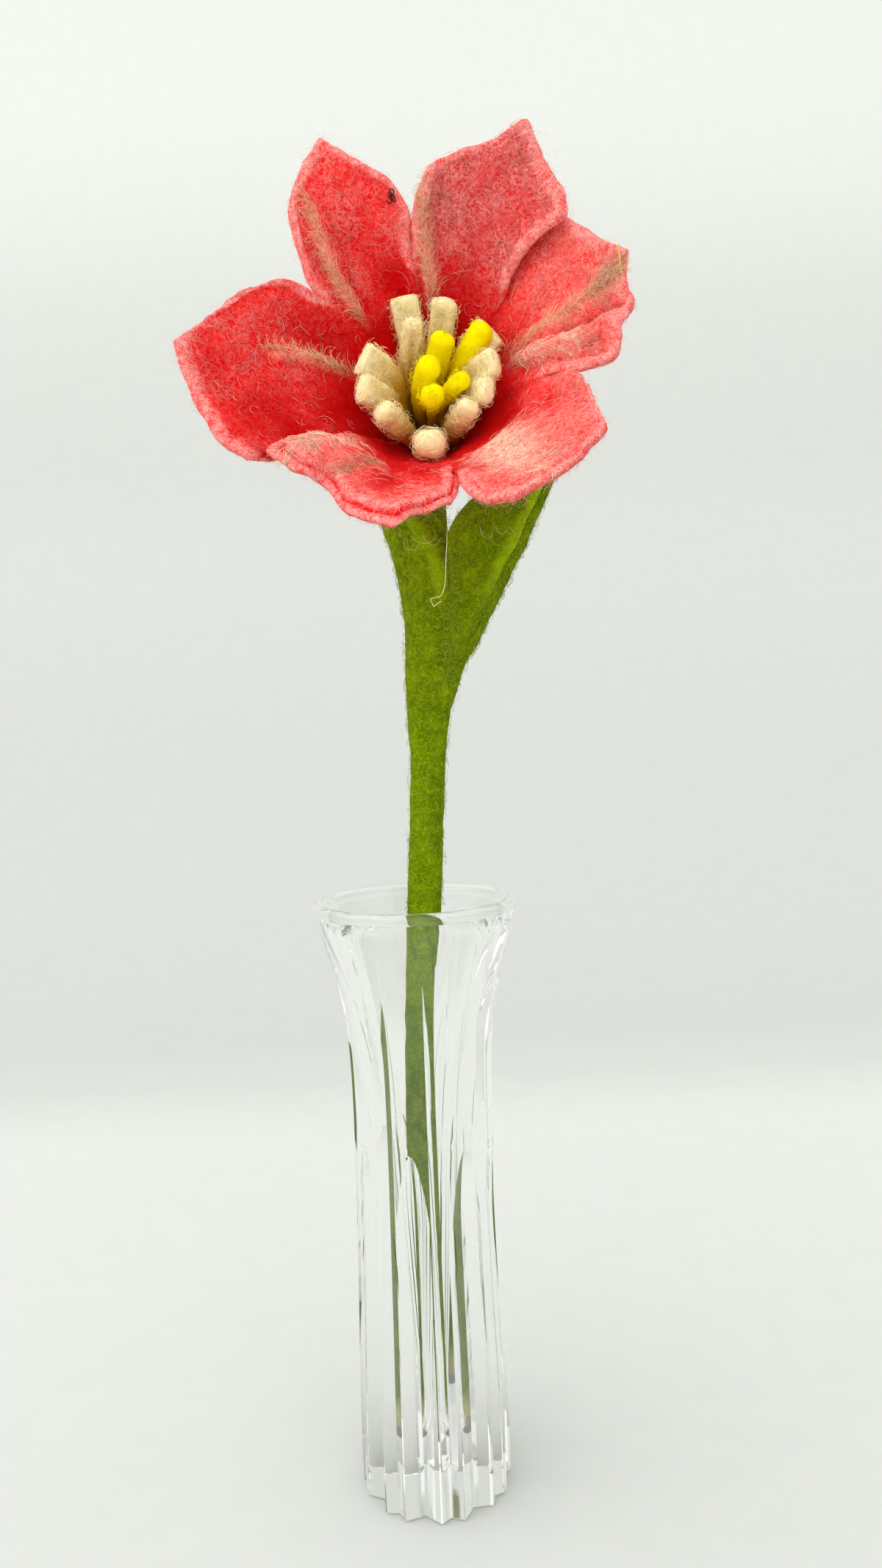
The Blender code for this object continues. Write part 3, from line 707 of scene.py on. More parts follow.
def stage_material():
    n = Nodes("studio_paper")
    coord = n.add("ShaderNodeTexCoord").outputs["Object"]
    grain = n.noise(coord, 60.0, 3.0, 0.5, 0.0, 1.0).outputs["Fac"]
    fac = n.ramp(grain, 0.3, 0.7, 0.985, 1.0)
    height = n.add("ShaderNodeSeparateXYZ")
    n.link(coord, height.inputs[0])
    # painted light and shade by height: a darker cove where the floor meets the backdrop and a backdrop that grows
    # lighter higher up
    tone = n.add("ShaderNodeValToRGB")
    tone.color_ramp.interpolation = "EASE"
    stops = ((0.0, 0.636), (0.001, 0.622), (0.007, 0.552), (0.02, 0.515), (0.18, 0.515), (0.5, 0.562), (1.0, 0.725))
    ramp = tone.color_ramp
    while len(ramp.elements) < len(stops):
        ramp.elements.new(0.5)
    for element, (place, value) in zip(ramp.elements, stops):
        element.position = place
        element.color = (value * 0.985, value, value * 0.965, 1)
    n.link(height.outputs["Z"], tone.inputs[0])
    # painted shade: the floor a little darker towards the front
    near = n.ramp(height.outputs["Y"], -0.2, 0.22, 0.955, 1.0)
    fac = n.math("MULTIPLY", fac, near)
    grey = n.add("ShaderNodeCombineColor")
    for k in range(3):
        n.link(fac, grey.inputs[k])
    n.link(n.blend(1.0, tone.outputs["Color"], grey.outputs[0], "MULTIPLY"), n.shader.inputs["Base Color"])
    n.shader.inputs["Roughness"].default_value = 0.9
    n.shader.inputs["Specular IOR Level"].default_value = 0.1
    return n.mat


def make_stage():
    """Pale floor that sweeps up into a backdrop behind the vase."""
    start, radius, top = 0.30, 0.75, 2.4
    profile = [(-3.0, 0.0), (-1.0, 0.0), (-0.3, 0.0), (0.0, 0.0), (0.2, 0.0)]
    for deg in np.linspace(0, 90, 40):
        a = math.radians(deg)
        profile.append((start + radius * math.sin(a), radius * (1 - math.cos(a))))
    profile += [(start + radius, 1.4), (start + radius, top)]
    verts, faces = [], []
    xs = (-1.35, -0.8, -0.4, 0.0, 0.4, 0.8, 1.35)
    for y, z in profile:
        for x in xs:
            verts.append((x, y, z - 0.0002))
    m = len(xs)
    for r in range(len(profile) - 1):
        for c in range(m - 1):
            faces.append((r * m + c, r * m + c + 1, (r + 1) * m + c + 1, (r + 1) * m + c))
    mesh = bpy.data.meshes.new("sweep")
    mesh.from_pydata(verts, [], faces)
    mesh.shade_smooth()
    obj = bpy.data.objects.new("sweep", mesh)
    mesh.materials.append(stage_material())
    scene.collection.objects.link(obj)


make_stage()


# ================================================================ vase
VASE_HEIGHT, LIP_RING, LIP_ROUND = 200.0, 31.3, 2.4
FACETS, FLUTE_TURN, FLUTE_HALF, FLUTE_DEPTH = 8, 10.6, 8.3, 2.3
PANEL_HALF = 22.5 - FLUTE_HALF
GROOVE_DEPTH, ARCH_TOP, ARCH_SPRING, FOOT_CHAMFER = 3.9, 121.0, 98.0, 0.8
OUTER = [(0.0, 25.1), (6, 25.2), (30, 25.0), (45, 24.7), (65, 24.2), (95, 23.7), (113, 23.4),
         (132, 23.3), (152, 23.9), (161, 24.7), (168, 25.8), (177, 28.0), (184, 30.0),
         (190, 31.6), (194, 32.5), (196.4, 32.9)]
INNER = [(18.4, 0.0), (26, 6.7), (40, 7.5), (60, 8.8), (80, 9.8), (100, 10.8), (120, 11.8),
         (140, 13.3), (155, 15.4), (168, 18.4), (178, 21.6), (184, 24.0), (190, 26.5), (194.5, 28.1)]


def fair(table, z):
    """Smooth profile radius at a height (cubic through the table)."""
    zs = np.array([r[0] for r in table], float)
    rs = np.array([r[1] for r in table], float)
    slope = np.gradient(rs, zs)
    k = int(np.clip(np.searchsorted(zs, z) - 1, 0, len(zs) - 2))
    h = zs[k + 1] - zs[k]
    t = min(max((z - zs[k]) / h, 0.0), 1.0)
    return ((2 * t ** 3 - 3 * t ** 2 + 1) * rs[k] + (t ** 3 - 2 * t ** 2 + t) * h * slope[k]
            + (-2 * t ** 3 + 3 * t ** 2) * rs[k + 1] + (t ** 3 - t ** 2) * h * slope[k + 1])


def even(table, z):
    """The same profile with its small ripples evened out."""
    shifts = np.linspace(-9.0, 9.0, 13)
    weights = 1 - np.abs(shifts) / 10.5
    inside = [min(max(z + d, table[0][0]), table[-1][0]) for d in shifts]
    soft = float(np.dot(weights, [fair(table, v) for v in inside]) / weights.sum())
    keep = float(ease(z, 172, 190) + 1 - ease(z, 27, 38))
    return soft * (1 - keep) + fair(table, z) * keep


def groove_share(z):
    if z <= ARCH_SPRING:
        return 0.93
    if z >= ARCH_TOP:
        return 0.0
    t = (z - ARCH_SPRING) / (ARCH_TOP - ARCH_SPRING)
    return 0.93 * math.sqrt(max(0.0, 1 - t ** 1.6)) * (1 - 0.25 * t)


def vase_ring(z, radius, plain=False, steps=4):
    share = groove_share(z)
    flute = FLUTE_DEPTH * float(np.clip((196.0 - z) / 46.0, 0, 1)) ** 0.8
    keys = []
    for k in range(FACETS):
        centre = FLUTE_TURN + 45.0 * k
        mid = centre + 22.5
        w = max(share, 0.04) if z <= ARCH_TOP else 0.42
        for angle, kind in ((centre, "flute"), (centre + FLUTE_HALF, "ridge"), (mid - PANEL_HALF * w, "side"),
                            (mid, "groove"), (mid + PANEL_HALF * w, "side"), (mid + PANEL_HALF, "ridge")):
            r = radius
            if not plain:
                if kind == "flute":
                    r = radius - flute
                elif kind == "groove" and z < ARCH_TOP:
                    r = radius - GROOVE_DEPTH * min(1.0, share / 0.93)
            keys.append((angle, r, kind))
    ring = []
    total = len(keys)
    for k in range(total):
        a0, r0, k0 = keys[k]
        a1, r1, k1 = keys[(k + 1) % total]
        if a1 < a0:
            a1 += 360.0
        straight = not plain and ("flute" in (k0, k1) or (z < ARCH_TOP and "groove" in (k0, k1)))
        for s in range(steps):
            t = s / steps
            if straight:
                p0 = np.array([r0 * math.sin(math.radians(a0)), -r0 * math.cos(math.radians(a0))])
                p1 = np.array([r1 * math.sin(math.radians(a1)), -r1 * math.cos(math.radians(a1))])
                x, y = p0 * (1 - t) + p1 * t
            else:
                a = math.radians(a0 + (a1 - a0) * t)
                r = r0 + (r1 - r0) * t
                x, y = r * math.sin(a), -r * math.cos(a)
            ring.append((x, y, z))
    return np.array(ring)


def loft(rings, cap_first=True, cap_last=True):
    n = len(rings[0])
    verts = np.concatenate(rings)
    quads, tris = [], []
    k = np.arange(n)
    k2 = (k + 1) % n
    for r in range(len(rings) - 1):
        quads.append(np.stack([r * n + k, r * n + k2, (r + 1) * n + k2, (r + 1) * n + k], 1))
    if cap_first:
        verts = np.vstack([verts, np.mean(rings[0], axis=0)])
        tris.append(np.stack([k2, k, np.full(n, len(verts) - 1)], 1))
    if cap_last:
        verts = np.vstack([verts, np.mean(rings[-1], axis=0)])
        o = (len(rings) - 1) * n
        tris.append(np.stack([o + k, o + k2, np.full(n, len(verts) - 1)], 1))
    out = [np.concatenate(quads)]
    if tris:
        out.append(np.concatenate(tris))
    return verts, out


def make_vase():
    rings = [vase_ring(0.0, OUTER[0][1] - FOOT_CHAMFER)]
    heights = [FOOT_CHAMFER, 4, 9, 16, 24, 34, 44, 54, 64, 74, 84, 92, ARCH_SPRING]
    heights += list(np.linspace(ARCH_SPRING, ARCH_TOP, 16)[1:-1]) + [ARCH_TOP - 0.4, ARCH_TOP + 0.2]
    heights += list(np.arange(124, 196, 2.6)) + [196.3]
    for z in heights:
        rings.append(vase_ring(z, even(OUTER, z)))
    top = VASE_HEIGHT - LIP_ROUND
    for deg in range(-25, 216, 12):
        a = math.radians(deg)
        rings.append(vase_ring(top + LIP_ROUND * math.sin(a), LIP_RING + LIP_ROUND * math.cos(a), True))
    for z in list(np.linspace(193.6, 27, 60)):
        rings.append(vase_ring(z, even(INNER, z), True))
    for share in (0.97, 0.9, 0.8, 0.68, 0.54, 0.38, 0.2):
        rings.append(vase_ring(18.4 + 8.2 * (1 - math.sqrt(1 - share ** 2)), 6.78 * share, True))
    verts, faces = loft(rings)
    make_piece("vase_glass", verts, faces, None, M_GLASS, node="vase", sharp=14)


make_vase()


# ================================================================ stem
STEM = [
    (19.5, 0.0, 0.0, 2.4), (20.4, 0.0, 0.0, 3.7), (22.6, 0.0, 0.0, 5.0), (27, -0.1, 0.0, 5.45),
    (60, -0.6, 0.0, 5.5), (100, -0.9, 0.0, 5.5), (132, -0.6, 0.0, 5.4), (165, 0.9, 0.0, 5.5),
    (193, 2.9, 0.0, 5.55), (210, 3.8, 0.0, 5.6), (237, 5.7, 0.0, 5.6), (248, 6.2, 0.0, 5.8),
    (255, 6.6, 0.0, 6.4), (261, 7.0, 0.0, 7.1), (266.0, 7.5, 0.0, 7.2)]
fuzz_green = Fuzz()


def green_tone(p, warm=0.0):
    """Ground colour of the green felt at these points."""
    big = lump(p, 9.0, 1)
    small = lump(p, 3.2, 2)
    c = mix(GREEN, GREEN_DEEP, np.clip(0.45 + 0.5 * big, 0, 1))
    return mix(c, GREEN_PALE, np.clip(0.08 + 0.22 * small, 0, 0.4)) * np.array([1 + 0.16 * warm, 1.0, 1.0])


def make_stem():
    sides = 56
    zs = np.concatenate([[19.5, 19.9, 20.4, 21.4, 22.6, 24.5], np.arange(27, 266.1, 1.6)])
    ang = np.linspace(0, 2 * math.pi, sides, endpoint=False)
    rings = []
    for z in zs:
        x, y, r = (float(np.interp(z, [row[0] for row in STEM], [row[c] for row in STEM])) for c in (1, 2, 3))
        p = np.stack([x + r * np.sin(ang), y - r * np.cos(ang), np.full(sides, z)], 1)
        out = np.stack([np.sin(ang), -np.cos(ang), np.zeros(sides)], 1)
        rings.append(p + out * (0.22 * lump(p, 5.0, 0) + 0.10 * lump(p, 2.2, 3))[:, None])
    verts, faces = loft(rings)
    # painted light: the stem is made 35 % lighter inside the glass below the neck, and its cream end is made as light
    # as it goes
    tone = green_tone(verts) * (1 + 0.35 * (1 - ease(verts[:, 2], 186, 200)))[:, None]
    tone = mix(tone, STEM_END, 1 - ease(verts[:, 2] + 2.0 * lump(verts, 3.0, 1), 27.0, 35.0))
    make_piece("stem_felt", verts, faces, tone, M_GREEN, node="stem")
    grid = np.stack(rings, 1)
    surf = Surface(grid, unit(grid - grid.mean(0, keepdims=True)), closed=True)
    rng = np.random.default_rng(21)
    high = (zs > 192.0)[None, :] * np.ones((sides, 1))
    path, ups, a, b = grow(surf, rng, int(900 * SHARE), (2.0, 6.0), (1.2, 4.0), 1.2, weight=high, free=0.5)
    tone = mix(GREEN, GREEN_LIGHT, rng.random(len(path)) ** 1.3) * rng.uniform(0.85, 1.2, (len(path), 1))
    fuzz_green.add(path, ups, rng.uniform(0.07, 0.13, len(path)), tone)


make_stem()

# ================================================================ calyx
CALYX = [
    (255, -0.0, 13.2, 6.55, 0.0), (262, -0.1, 14.3, 7.0, 0.0), (268, -0.1, 16.7, 7.9, 0.0),
    (276, -0.4, 19.3, 8.9, 0.0), (282, 0.0, 23.5, 10.2, -0.3), (290, 0.1, 27.7, 11.4, -0.7),
    (300, -0.7, 33.1, 13.0, -1.2), (306, -1.5, 36.2, 14.2, -1.5), (313, -3.1, 40.3, 15.7, -2.0),
    (320, -5.7, 43.5, 17.0, -2.3), (333, -10.5, 49.5, 19.0, -3.0), (350, -15.5, 55.0, 20.5, -3.5)]
CALYX_THICK = 2.8
CALYX_FOOT = 262.0
LOBE_RIGHT = dict(
    start=[(35, CALYX_FOOT), (27, 272), (17, 281), (6, 290), (-2.4, 298), (-8, 306), (-11.4, 313.5),
           (-5.6, 319), (1.8, 323), (11.6, 326.6)],
    rim=[(11.6, 326.6), (30, 330), (56, 337), (80, 347), (108, 343), (138, 335), (164, 328)],
    tip=3,
    end=[(181, CALYX_FOOT), (182, 285), (182, 300), (180, 313), (173, 320), (164, 328)])
LOBE_LEFT = dict(
    start=[(181, CALYX_FOOT), (182, 285), (182, 300), (182, 313), (189, 321), (198, 330)],
    rim=[(198, 330), (222, 340), (250, 345), (280, 350), (310, 340), (332, 333), (348.2, 330)],
    tip=3,
    end=[(395, CALYX_FOOT), (387, 272), (377, 281), (366, 290), (357.6, 298), (352, 306), (348.6, 313.5),
         (348.0, 318), (348.2, 330)])


def calyx_point(deg, z):
    lo, hi, half, mid = (interp(CALYX, z, c) for c in (1, 2, 3, 4))
    a = np.radians(deg)
    x = (lo + hi) / 2 + (hi - lo) / 2 * np.sin(a)
    return np.stack([x, mid - half * np.cos(a), z], -1)


def make_lobe(name, node, spec, relief, seed):
    us = np.concatenate([[0, 0.006, 0.014, 0.024], np.linspace(0.024, 0.976, 74)[1:-1], [0.976, 0.986, 0.994, 1]])
    vs = np.concatenate([np.linspace(0, 0.965, 64), [0.978, 0.988, 0.995, 1]])
    g = patch(spec, us, vs)
    deg, z = g[..., 0], g[..., 1]
    outer = calyx_point(deg, z)
    lo, hi = interp(CALYX, z, 1), interp(CALYX, z, 2)
    centre = np.stack([(lo + hi) / 2, interp(CALYX, z, 4), z], -1)
    n = grid_normals(outer)
    n *= np.sign(((outer - centre) * n).sum(2))[:, :, None]
    s0, s1, dr = border_distance(outer)
    edge = np.minimum(np.minimum(s0, s1), dr)
    low = 1 - ease(z, 266, 300)
    edge_side = np.minimum(s0, s1)
    # pulled in along the seams, then rounded at the free rim
    outer = outer - n * (0.45 * np.clip(1 - edge_side / 2.2, 0, 1) ** 2 * (0.35 + 0.65 * (1 - low)))[..., None]
    outer = outer + n * (0.35 * lump(outer, 8.0, seed) + 0.16 * lump(outer, 3.0, seed + 1))[..., None]
    extra, shade = relief(deg, z, outer)
    outer = outer + n * extra[..., None]
    thick = CALYX_THICK * (0.45 + 0.55 * np.sqrt(1 - (1 - np.clip(edge / 1.4, 0, 1)) ** 2))
    mid = outer - n * (CALYX_THICK / 2)
    n2 = grid_normals(mid)
    n2 *= np.sign((n * n2).sum(2))[:, :, None]
    verts, faces, (li, lj) = sheet_solid(mid, n2, thick)
    tone = green_tone(outer, 1.0)
    # painted shade in the hollows and valleys of the relief, painted highlight on its ridges
    tone = mix(tone, GREEN_DEEP * 0.8, np.clip(shade, 0, 1))
    tone = mix(tone, GREEN_PALE, np.clip(-shade, 0, 1))
    rim = 1 - ease(np.minimum(edge, 9), 0.4, 1.6)
    tone = mix(tone, GREEN_PALE, 0.45 * rim)
    inside = mix(tone, GREEN, 0.5)
    tints = np.concatenate([tone.reshape(-1, 3), inside.reshape(-1, 3)] + 3 * [tone[li, lj]])
    make_piece(name, verts, faces, tints, M_GREEN, node=node)
    surf = Surface(outer, n2)
    rng = np.random.default_rng(40 + seed)
    path, ups, a, b = grow(surf, rng, int(1600 * SHARE), (2.0, 6.5), (1.2, 4.5), 1.3, free=0.5)
    t = mix(GREEN, GREEN_LIGHT, rng.random(len(path)) ** 1.3) * rng.uniform(0.85, 1.2, (len(path), 1))
    fuzz_green.add(path, ups, rng.uniform(0.07, 0.14, len(path)), t)
    edge_w = np.exp(-(edge / 0.9) ** 2) * (z > 268)
    path, ups, a, b = grow(surf, rng, int(700 * SHARE), (1.5, 4.5), (1.0, 3.5), 0.9, weight=edge_w, segments=4,
                           free=0.6, stray=0.7)
    t = mix(GREEN, GREEN_LIGHT, rng.random(len(path)) ** 0.5) * rng.uniform(0.9, 1.2, (len(path), 1))
    fuzz_green.add(path, ups, rng.uniform(0.09, 0.14, len(path)), t)


def relief_right(deg, z, p):
    """A pale vein from the tip down the front, a shallow valley on its outer side. The second value paints shade into
    the valley and lightens the vein, partly its paler felt, partly a painted highlight on the ridge.
    """
    vein = [(61.0, 336.0), (55.0, 325.0), (48.0, 312.0), (41.0, 300.0), (33.0, 288.0), (27.0, 276.0)]
    half = (interp(CALYX, z, 2) - interp(CALYX, z, 1)) / 2
    ref = np.interp(z, [v[1] for v in vein[::-1]], [v[0] for v in vein[::-1]])
    d = np.radians(deg - ref) * half
    fade = (0.75 * ease(z, 290, 314) + 0.25 * ease(z, 276, 294)) * np.clip(0.95 + 0.35 * lump(p, 5.0, 4), 0.3, 1.2)
    ridge = np.exp(-(d / 2.3) ** 2) * fade
    valley = np.exp(-((d - 4.2) / 2.4) ** 2) * fade
    return 1.1 * ridge - 1.5 * valley, 0.7 * valley - 1.2 * ridge


def relief_left(deg, z, p):
    """A diagonal fold below the notch, hollow above it. The second value paints shade into the hollow and the dip at
    the side and a highlight on the fold.
    """
    back = np.interp(z, [296, 306, 318, 326, 334], [352, 343, 327, 316, 306])
    half = (interp(CALYX, z, 2) - interp(CALYX, z, 1)) / 2
    d = np.radians(deg - back) * half
    fade = ease(z, 292, 304)
    hollow = ease(d, 0.0, 5.0) * fade
    ridge = np.exp(-((d + 1.0) / 1.6) ** 2) * fade
    side = np.exp(-((deg - 300) / 9.0) ** 2) * ease(z, 288, 310) * (1 - ease(z, 318, 326))
    return -1.7 * hollow + 0.9 * ridge - 0.7 * side, 0.8 * hollow - 0.6 * ridge + 0.4 * side


make_lobe("calyx_left_felt", "calyx_left", LOBE_LEFT, relief_left, 1)
make_lobe("calyx_right_felt", "calyx_right", LOBE_RIGHT, relief_right, 2)
fuzz_green.piece("fuzz_green", M_STRAND_GREEN)

# ================================================================ corolla
THROAT = (12.1, 5.0, 350.7)
TILT_UP, TURN = 20.0, -5.0
BASE_RADIUS, FLARE_START, FLARE_END, FLARE_POWER = 10.0, 24.0, 62.0, 0.75
FELT = 3.0


def flower_axes():
    el, az = math.radians(TILT_UP), math.radians(TURN)
    axis = np.array([math.sin(az) * math.cos(el), -math.cos(az) * math.cos(el), math.sin(el)])
    up = np.array([0, 0, 1.0]) - axis * axis[2]
    up /= np.linalg.norm(up)
    right = np.cross(up, axis)
    if right[0] < 0:
        right = -right
    return axis, up, right


AXIS, UP, RIGHT = flower_axes()
RUN = np.linspace(0, 140, 561)
OPEN = np.radians(FLARE_START + (FLARE_END - FLARE_START) * np.minimum(RUN / 95, 1.25) ** FLARE_POWER)
RHO = BASE_RADIUS + np.concatenate([[0], np.cumsum(np.sin(OPEN[:-1]) * (RUN[1] - RUN[0]))])
ALONG = np.concatenate([[0], np.cumsum(np.cos(OPEN[:-1]) * (RUN[1] - RUN[0]))])


def spoke(deg):
    a = np.radians(deg)
    return np.sin(a)[..., None] * RIGHT + np.cos(a)[..., None] * UP


def flower_point(deg, radius, along):
    deg = np.asarray(deg, float)
    return (np.array(THROAT) + np.asarray(radius, float)[..., None] * spoke(deg)
            + np.asarray(along, float)[..., None] * AXIS)


def funnel_point(deg, run, lift):
    rho, along, a = np.interp(run, RUN, RHO), np.interp(run, RUN, ALONG), np.interp(run, RUN, OPEN)
    inward = -np.cos(a)[..., None] * spoke(deg) + np.sin(a)[..., None] * AXIS
    return flower_point(deg, rho, along) + np.asarray(lift)[..., None] * inward, inward


# Petal edges: direction (degrees clockwise from the top), distance from the base
# along the funnel wall, lift towards the viewer. Folds: line, height, width, skew.
# Streaks: line, colour, width, strength.
# Shade patches: direction, distance, width, height, strength of painted shade.
PETALS = {
    "petal_upper_left": dict(
        start=[(-52, 0, 0), (-53.5, 30, 0), (-52.5, 52, 0), (-48.5, 60, 0), (-42.5, 70, 0)],
        rim=[(-42.5, 70, 0), (-37, 77, 0), (-24, 86, 1), (-17, 77, 0), (-9, 70, 0)], tip=2,
        end=[(-5, 0, 0), (-5, 30, 0), (-5, 50, 0), (-4, 60, 0), (-9, 70, 0)], cup=-3.0,
        pale=0.10, dull=0.05, fibres=0.85,
        shade_patch=[(-14, 42, 8, 13, 1.0), (-44, 60, 3, 9, 0.5), (-26, 56, 8, 8, 0.6), (-38, 36, 7, 9, 0.7)],
        folds=[([(-35, 74), (-38, 61), (-42, 48), (-40, 32)], 1.1, 1.7, 0.0),
               ([(-30, 70), (-33, 58), (-36, 46), (-35, 32)], -1.0, 2.0, 0.0)],
        streaks=[([(-34, 76), (-37, 66), (-40, 56), (-42, 48), (-40, 34)], "streak", 0.9, 0.8)]),
    "petal_upper_right": dict(
        start=[(-5, 0, 0), (-5, 30, 0), (-5, 50, 0), (-2, 62, 0), (3, 72, 0)],
        rim=[(3, 72, 0), (12, 76.5, 0), (21, 81.5, 0), (27, 88, 1), (32, 83, 0), (37, 79, 0), (46, 75, 1),
             (50.5, 71, 2)], tip=3,
        end=[(42, 0, 0), (42, 28, 0), (43.5, 44, 1.2), (45, 54, 3.0), (47.5, 63, 3.6), (50.5, 71, 2.5)], cup=-2.5,
        pale=0.12, dull=1.0, fibres=1.0, calm=0.45, gain=0.92, shade_patch=[(18, 40, 12, 10, 0.7)],
        folds=[([(2, 69), (0, 56), (4, 40), (4, 28)], 1.2, 1.7, 0.0),
               ([(8, 70), (6, 56), (9, 42)], -1.0, 2.2, 0.0)],
        streaks=[([(2, 71), (0, 60), (1, 50), (4, 40), (4, 30)], "streak", 1.2, 0.85)]),
    "petal_right": dict(
        start=[(42, 0, 0), (42, 28, -0.2), (42.0, 44, -1.6), (42.5, 55, -2.8), (45.0, 64, -3.2), (48.0, 70, -3.0)],
        rim=[(48.0, 70, -3.0), (55, 72, -1.4), (62, 73.5, 0), (70, 78, 0), (75, 75, 0), (85, 73, 0), (96, 69.5, 0),
             (102, 66, 1)], tip=3,
        end=[(95, 0, 0), (95, 30, 0), (96.5, 45, 0), (101.5, 57, 0), (102, 66, 1)], cup=-3.5,
        pale=0.80, dull=0.05, fibres=1.0, hide=(0.8, 0.0),
        shade_patch=[(64, 40, 6, 12, 0.4), (100, 44, 6, 10, 0.5)],
        folds=[([(91, 74), (89, 66), (88, 57), (86, 48), (81, 39), (71, 30)], 2.3, 2.0, 0.0),
               ([(83, 75), (82, 64), (81, 55), (78, 45)], -2.3, 2.4, 0.0),
               ([(98, 70), (97, 62), (95, 54), (91, 45)], -1.2, 2.0, 0.0),
               ([(71, 77), (74, 62), (72, 46), (66, 30)], 0.6, 2.2, 0.0)],
        streaks=[([(71, 77), (74, 64), (73, 54), (71, 44), (66, 30)], "streak", 1.6, 0.8),
                 ([(71, 76), (73, 69), (74, 62)], "taupe", 3.6, 0.65),
                 ([(90, 60), (86, 50), (82, 41), (74, 31)], "salmon", 2.6, 0.6)]),
    "petal_lower_right": dict(
        start=[(95, 0, 0), (95, 30, 0), (97, 45, 0), (103.5, 57, 0.5), (110, 63, 1)],
        rim=[(110, 63, 1), (120, 70, 0), (127, 80, 0), (133, 79, 0), (145, 77.5, 0), (157, 77.5, 0)], tip=2,
        end=[(167, 0, 0), (165, 30, 0), (165.5, 48, 0), (166, 60, 0), (157, 77.5, 0)], cup=2.5, cut=0.8,
        pale=0.60, dull=0.0, fibres=1.0, halo=600, hide=(0.45, 0.0), core=0.35, roll=0.9, wave=1.5,
        rim_band=(2.4, 4.4), ragged=0.5, shade_patch=[(122, 36, 9, 11, 1.0), (114, 50, 5, 9, 0.7), (160, 46, 6, 13, 0.9)],
        folds=[([(127, 78), (130, 64), (133, 50), (134, 34)], 1.0, 4.0, 0.0),
               ([(146, 74), (148, 60), (150, 46)], -0.9, 3.5, 0.0),
               ([(112, 62), (113, 52), (112, 42)], -0.8, 3.0, 0.0)],
        # the broad pale salmon band on the lower right petal is a painted highlight
        streaks=[([(138, 33), (141, 45), (143, 58), (145, 70)], "salmon", 7.0, 1.15)]),
    "petal_bottom": dict(
        start=[(167, 0, 0), (165, 30, 0), (166, 46, 0), (168.5, 55, 0), (171, 61, 0)],
        rim=[(171, 61, 0), (179, 67.5, 0), (187.5, 79, 0), (197, 75, 0), (205, 69, 0), (212, 65, 1), (220, 70, 2.6),
             (228.5, 72.5, 4.2)], tip=2,
        end=[(232, 0, 0), (231, 26, 0.6), (229.5, 40, 2.6), (228.5, 52, 4.4), (228.5, 63, 4.8), (228.5, 72.5, 4.2)],
        cup=1.5, cut=0.95, pale=0.50, dull=0.0, fibres=0.9, halo=550, core=1.0, roll=1.7, wave=2.4,
        rim_band=(4.2, 6.4), ragged=1.2,
        shade_patch=[(194, 55, 7, 15, 1.0), (181, 46, 8, 12, 1.0), (198, 40, 10, 9, 1.0), (172, 52, 4, 7, 0.8)],
        folds=[([(188, 78), (189, 66), (191, 52), (193, 36)], -1.0, 3.6, 0.0),
               ([(212, 64), (212, 54), (212, 42)], 0.9, 3.4, 0.0)],
        streaks=[([(225, 70), (224, 60), (224, 48), (226, 36)], "salmon", 3.0, 0.75),
                 # the brownish band on the bottom petal is a painted shadow of the stamens
                 ([(207, 62), (205, 52), (203, 42)], "stamen_shadow", 2.6, 0.4)]),
    "petal_left": dict(
        start=[(232, 0, 0), (231, 28, 0), (228.5, 50, -1.4), (228, 64, -2.2), (230.5, 77, -1.6)],
        rim=[(230.5, 77, -1), (240, 80.5, 0), (253, 81.5, 0), (267, 85, 1), (277, 76.5, 0), (289, 69, 0)], tip=3,
        end=[(308, 0, 0), (307.5, 30, 0.6), (307, 46, 1.4), (305.5, 55, 1.5), (301, 62, 1.0), (289, 69, 0)],
        cup=-4.0,
        pale=0.0, dull=0.0, fibres=0.50, hide=(1.0, 0.0), gain=0.89,
        shade_patch=[(240, 56, 16, 20, 1.0), (242, 38, 13, 13, 1.0), (234, 56, 6, 20, 1.0), (262, 74, 14, 7, 0.5), (290, 46, 8, 12, 0.8)],
        folds=[([(273, 56), (278, 44), (286, 30)], 0.9, 2.6, 0.0),
               ([(246, 70), (250, 56), (258, 42)], -0.8, 3.6, 0.0)],
        streaks=[([(272, 58), (276, 48), (281, 38), (287, 27)], "streak", 1.3, 0.65)]),
}
STREAK_COLOURS = {"streak": np.array([0.96, 0.52, 0.30]), "taupe": np.array([0.64, 0.30, 0.17]),
                  "salmon": np.array([1.0, 0.82, 0.64]), "stamen_shadow": np.array([0.62, 0.22, 0.10]),
                  "crest": np.array([1.0, 0.74, 0.50])}


def unroll(deg, run, ref):
    """Flat millimetre coordinates on the funnel wall."""
    return np.interp(run, RUN, RHO) * np.radians(np.asarray(deg, float) - ref), np.asarray(run, float)


def flat_line(line, ref):
    return [tuple(float(c) for c in unroll(d, r, ref)) for d, r in line]


